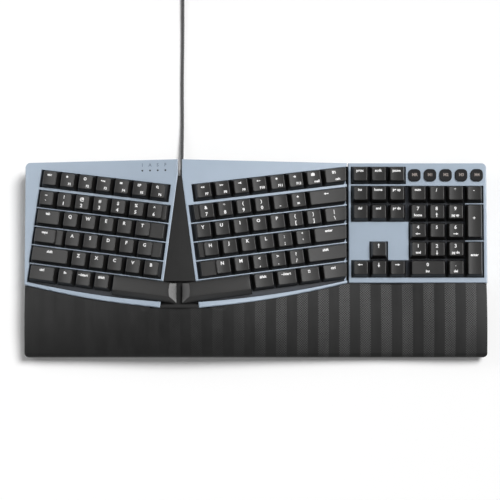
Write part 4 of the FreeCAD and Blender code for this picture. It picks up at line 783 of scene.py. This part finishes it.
def hatched_plastic():
    """Palm rest plastic: upright bands of raised crossed lines, with a painted sheen that makes them
    strongest at the number pad's end.
    """
    material = moulded("palm rest plastic", (0.019, 0.019, 0.019), 0.55, grain=0.0004, depth=0.1,
                       patch=0.08, shine=0.11)
    tree, link = material.node_tree.nodes, material.node_tree.links.new
    shader, bump = tree["Principled BSDF"], tree["Bump"]

    def calc(operation, first, second=None):
        """Result of a math node, given sockets or numbers."""
        step = tree.new("ShaderNodeMath")
        step.operation = operation
        for socket, given in zip(step.inputs, (first, second)):
            if isinstance(given, (int, float)):
                socket.default_value = given
            elif given is not None:
                link(given, socket)
        return step.outputs[0]

    def ease(value, start, end):
        """Result that goes smoothly from 0, where the value is at the start, to 1 at the end."""
        slope = tree.new("ShaderNodeMapRange")
        slope.interpolation_type = "SMOOTHSTEP"
        slope.inputs["From Min"].default_value = start
        slope.inputs["From Max"].default_value = end
        link(value, slope.inputs["Value"])
        return slope.outputs["Result"]

    parts = tree.new("ShaderNodeSeparateXYZ")
    link(tree["Texture Coordinate"].outputs["Object"], parts.inputs[0])
    # two sets of slanting lines cross in the bands
    across = calc("DIVIDE", parts.outputs["X"], HATCH_WIDTH)
    along = calc("DIVIDE", parts.outputs["Y"], HATCH_DEPTH)
    lines = [calc("PINGPONG", calc(sense, across, along), 0.5) for sense in ("ADD", "SUBTRACT")]
    lattice = ease(calc("MINIMUM", *lines), 0.11, 0.04)
    from_band = calc("SUBTRACT", parts.outputs["X"], BAND_MIDDLE)
    turn = calc("MULTIPLY", from_band, 2 * math.pi / BAND_PITCH)
    band = ease(calc("COSINE", turn), -0.12, 0.12)
    # painted sheen makes the hatch fade out towards the left end, and it also fades here and there
    # along a band
    painted_sheen_spread = calc("ADD", calc("MULTIPLY", ease(parts.outputs["X"], -0.13, 0.08), 0.8), 0.08)
    patches = tree.new("ShaderNodeTexNoise")
    patches.inputs["Scale"].default_value = 14
    patches.inputs["Detail"].default_value = 0
    link(tree["Texture Coordinate"].outputs["Object"], patches.inputs["Vector"])
    patchy_fade = calc("ADD", calc("MULTIPLY", ease(patches.outputs["Fac"], 0.35, 0.6), 0.6), 0.4)
    hatch = calc("MULTIPLY", calc("MULTIPLY", lattice, band), calc("MULTIPLY", painted_sheen_spread, patchy_fade))
    tint = tree.new("ShaderNodeMix")
    tint.data_type = "RGBA"
    link(hatch, tint.inputs[0])
    link(shader.inputs["Base Color"].links[0].from_socket, tint.inputs[6])
    tint.inputs[7].default_value = (0.145, 0.145, 0.145, 1)
    # faint streaks run from the lip to the front, and painted shade makes the plastic darker that way
    stretched = tree.new("ShaderNodeMapping")
    stretched.inputs["Scale"].default_value = (1, 0.05, 1)
    link(tree["Texture Coordinate"].outputs["Object"], stretched.inputs["Vector"])
    streaks = tree.new("ShaderNodeTexNoise")
    streaks.inputs["Scale"].default_value = 110
    link(stretched.outputs["Vector"], streaks.inputs["Vector"])
    streak = calc("ADD", calc("MULTIPLY", ease(streaks.outputs["Fac"], 0.25, 0.75), 0.3), 0.85)
    painted_front_shade = calc("ADD", calc("MULTIPLY", ease(parts.outputs["Y"], -0.125, -0.03), 0.75), 0.45)
    shade = calc("MULTIPLY", streak, painted_front_shade)
    streaks_and_painted_shade = tree.new("ShaderNodeMix")
    streaks_and_painted_shade.data_type = "RGBA"
    streaks_and_painted_shade.blend_type = "MULTIPLY"
    streaks_and_painted_shade.inputs[0].default_value = 1
    link(tint.outputs[2], streaks_and_painted_shade.inputs[6])
    link(shade, streaks_and_painted_shade.inputs[7])
    link(streaks_and_painted_shade.outputs[2], shader.inputs["Base Color"])
    ridges = tree.new("ShaderNodeBump")
    ridges.inputs["Strength"].default_value = 0.3
    ridges.inputs["Distance"].default_value = 0.0001
    link(hatch, ridges.inputs["Height"])
    link(bump.outputs["Normal"], ridges.inputs["Normal"])
    link(ridges.outputs["Normal"], shader.inputs["Normal"])
    return material


rest = bmesh.new()
rest.from_mesh(nodes["palm_rest"].data)
bmesh.ops.remove_doubles(rest, verts=rest.verts, dist=1e-6)
half_width = max(v.co.x for v in rest.verts)
front = min(v.co.y for v in rest.verts)
for side in (-1, 1):
    centre = Vector((side * (half_width - FRONT_CORNER), front + FRONT_CORNER, 0))
    for step in range(CORNER_CUTS):
        angle = math.radians(90 / CORNER_CUTS * (step + 0.5))
        facing = Vector((side * math.cos(angle), -math.sin(angle), 0))
        whole = rest.verts[:] + rest.edges[:] + rest.faces[:]
        cut = bmesh.ops.bisect_plane(rest, geom=whole, dist=1e-7, plane_no=facing, clear_outer=True,
                                     plane_co=centre + facing * FRONT_CORNER)
        edges = [e for e in only(cut["geom_cut"], bmesh.types.BMEdge) if e.is_boundary]
        bmesh.ops.holes_fill(rest, edges=edges, sides=0)
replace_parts(make_piece("palm_rest_moulding", rest, hatched_plastic(), "chassis",
                       sharp=30), "palm_rest")

# Case and its small parts: the black bottom shell of coarser plastic with its two tilt feet. Rubber
# pads are stuck under it, and zinc plated screws sit in the posts of its floor.

case_plastic = moulded("case plastic", (0.018, 0.018, 0.019), 0.55, grain=0.0008, depth=0.2)
finish(["bottom_case", "left_tilt_foot", "right_tilt_foot"], case_plastic)
finish(["rubber_feet"], moulded("pad rubber", (0.012, 0.012, 0.012), 0.8, grain=0.0005, depth=0.3))
steel = moulded("zinc plated steel", (0.45, 0.45, 0.46), 0.35, grain=0.0004)
steel.node_tree.nodes["Principled BSDF"].inputs["Metallic"].default_value = 1.0
finish(["case_screws"], steel)

# Cable's own parts: a tapered rubber sleeve in the case's rear wall takes the strain, a strap ties
# the coil, and the plug has a moulded rubber body and a shell of nickel plated steel.

rubber = moulded("moulded rubber", (0.02, 0.02, 0.021), 0.6, grain=0.0006, depth=0.2)
finish(["cable_strain_relief", "plug_body"], rubber)
finish(["cable_tie"], moulded("tie strap", (0.022, 0.022, 0.022), 0.6, grain=0.0008, depth=0.3))
nickel = moulded("nickel plated steel", (0.6, 0.6, 0.58), 0.22, grain=0.0005, depth=0.04)
nickel.node_tree.nodes["Principled BSDF"].inputs["Metallic"].default_value = 1.0
finish(["plug_shell"], nickel)

# Last: the scene is brought up to date.

bpy.context.view_layer.update()
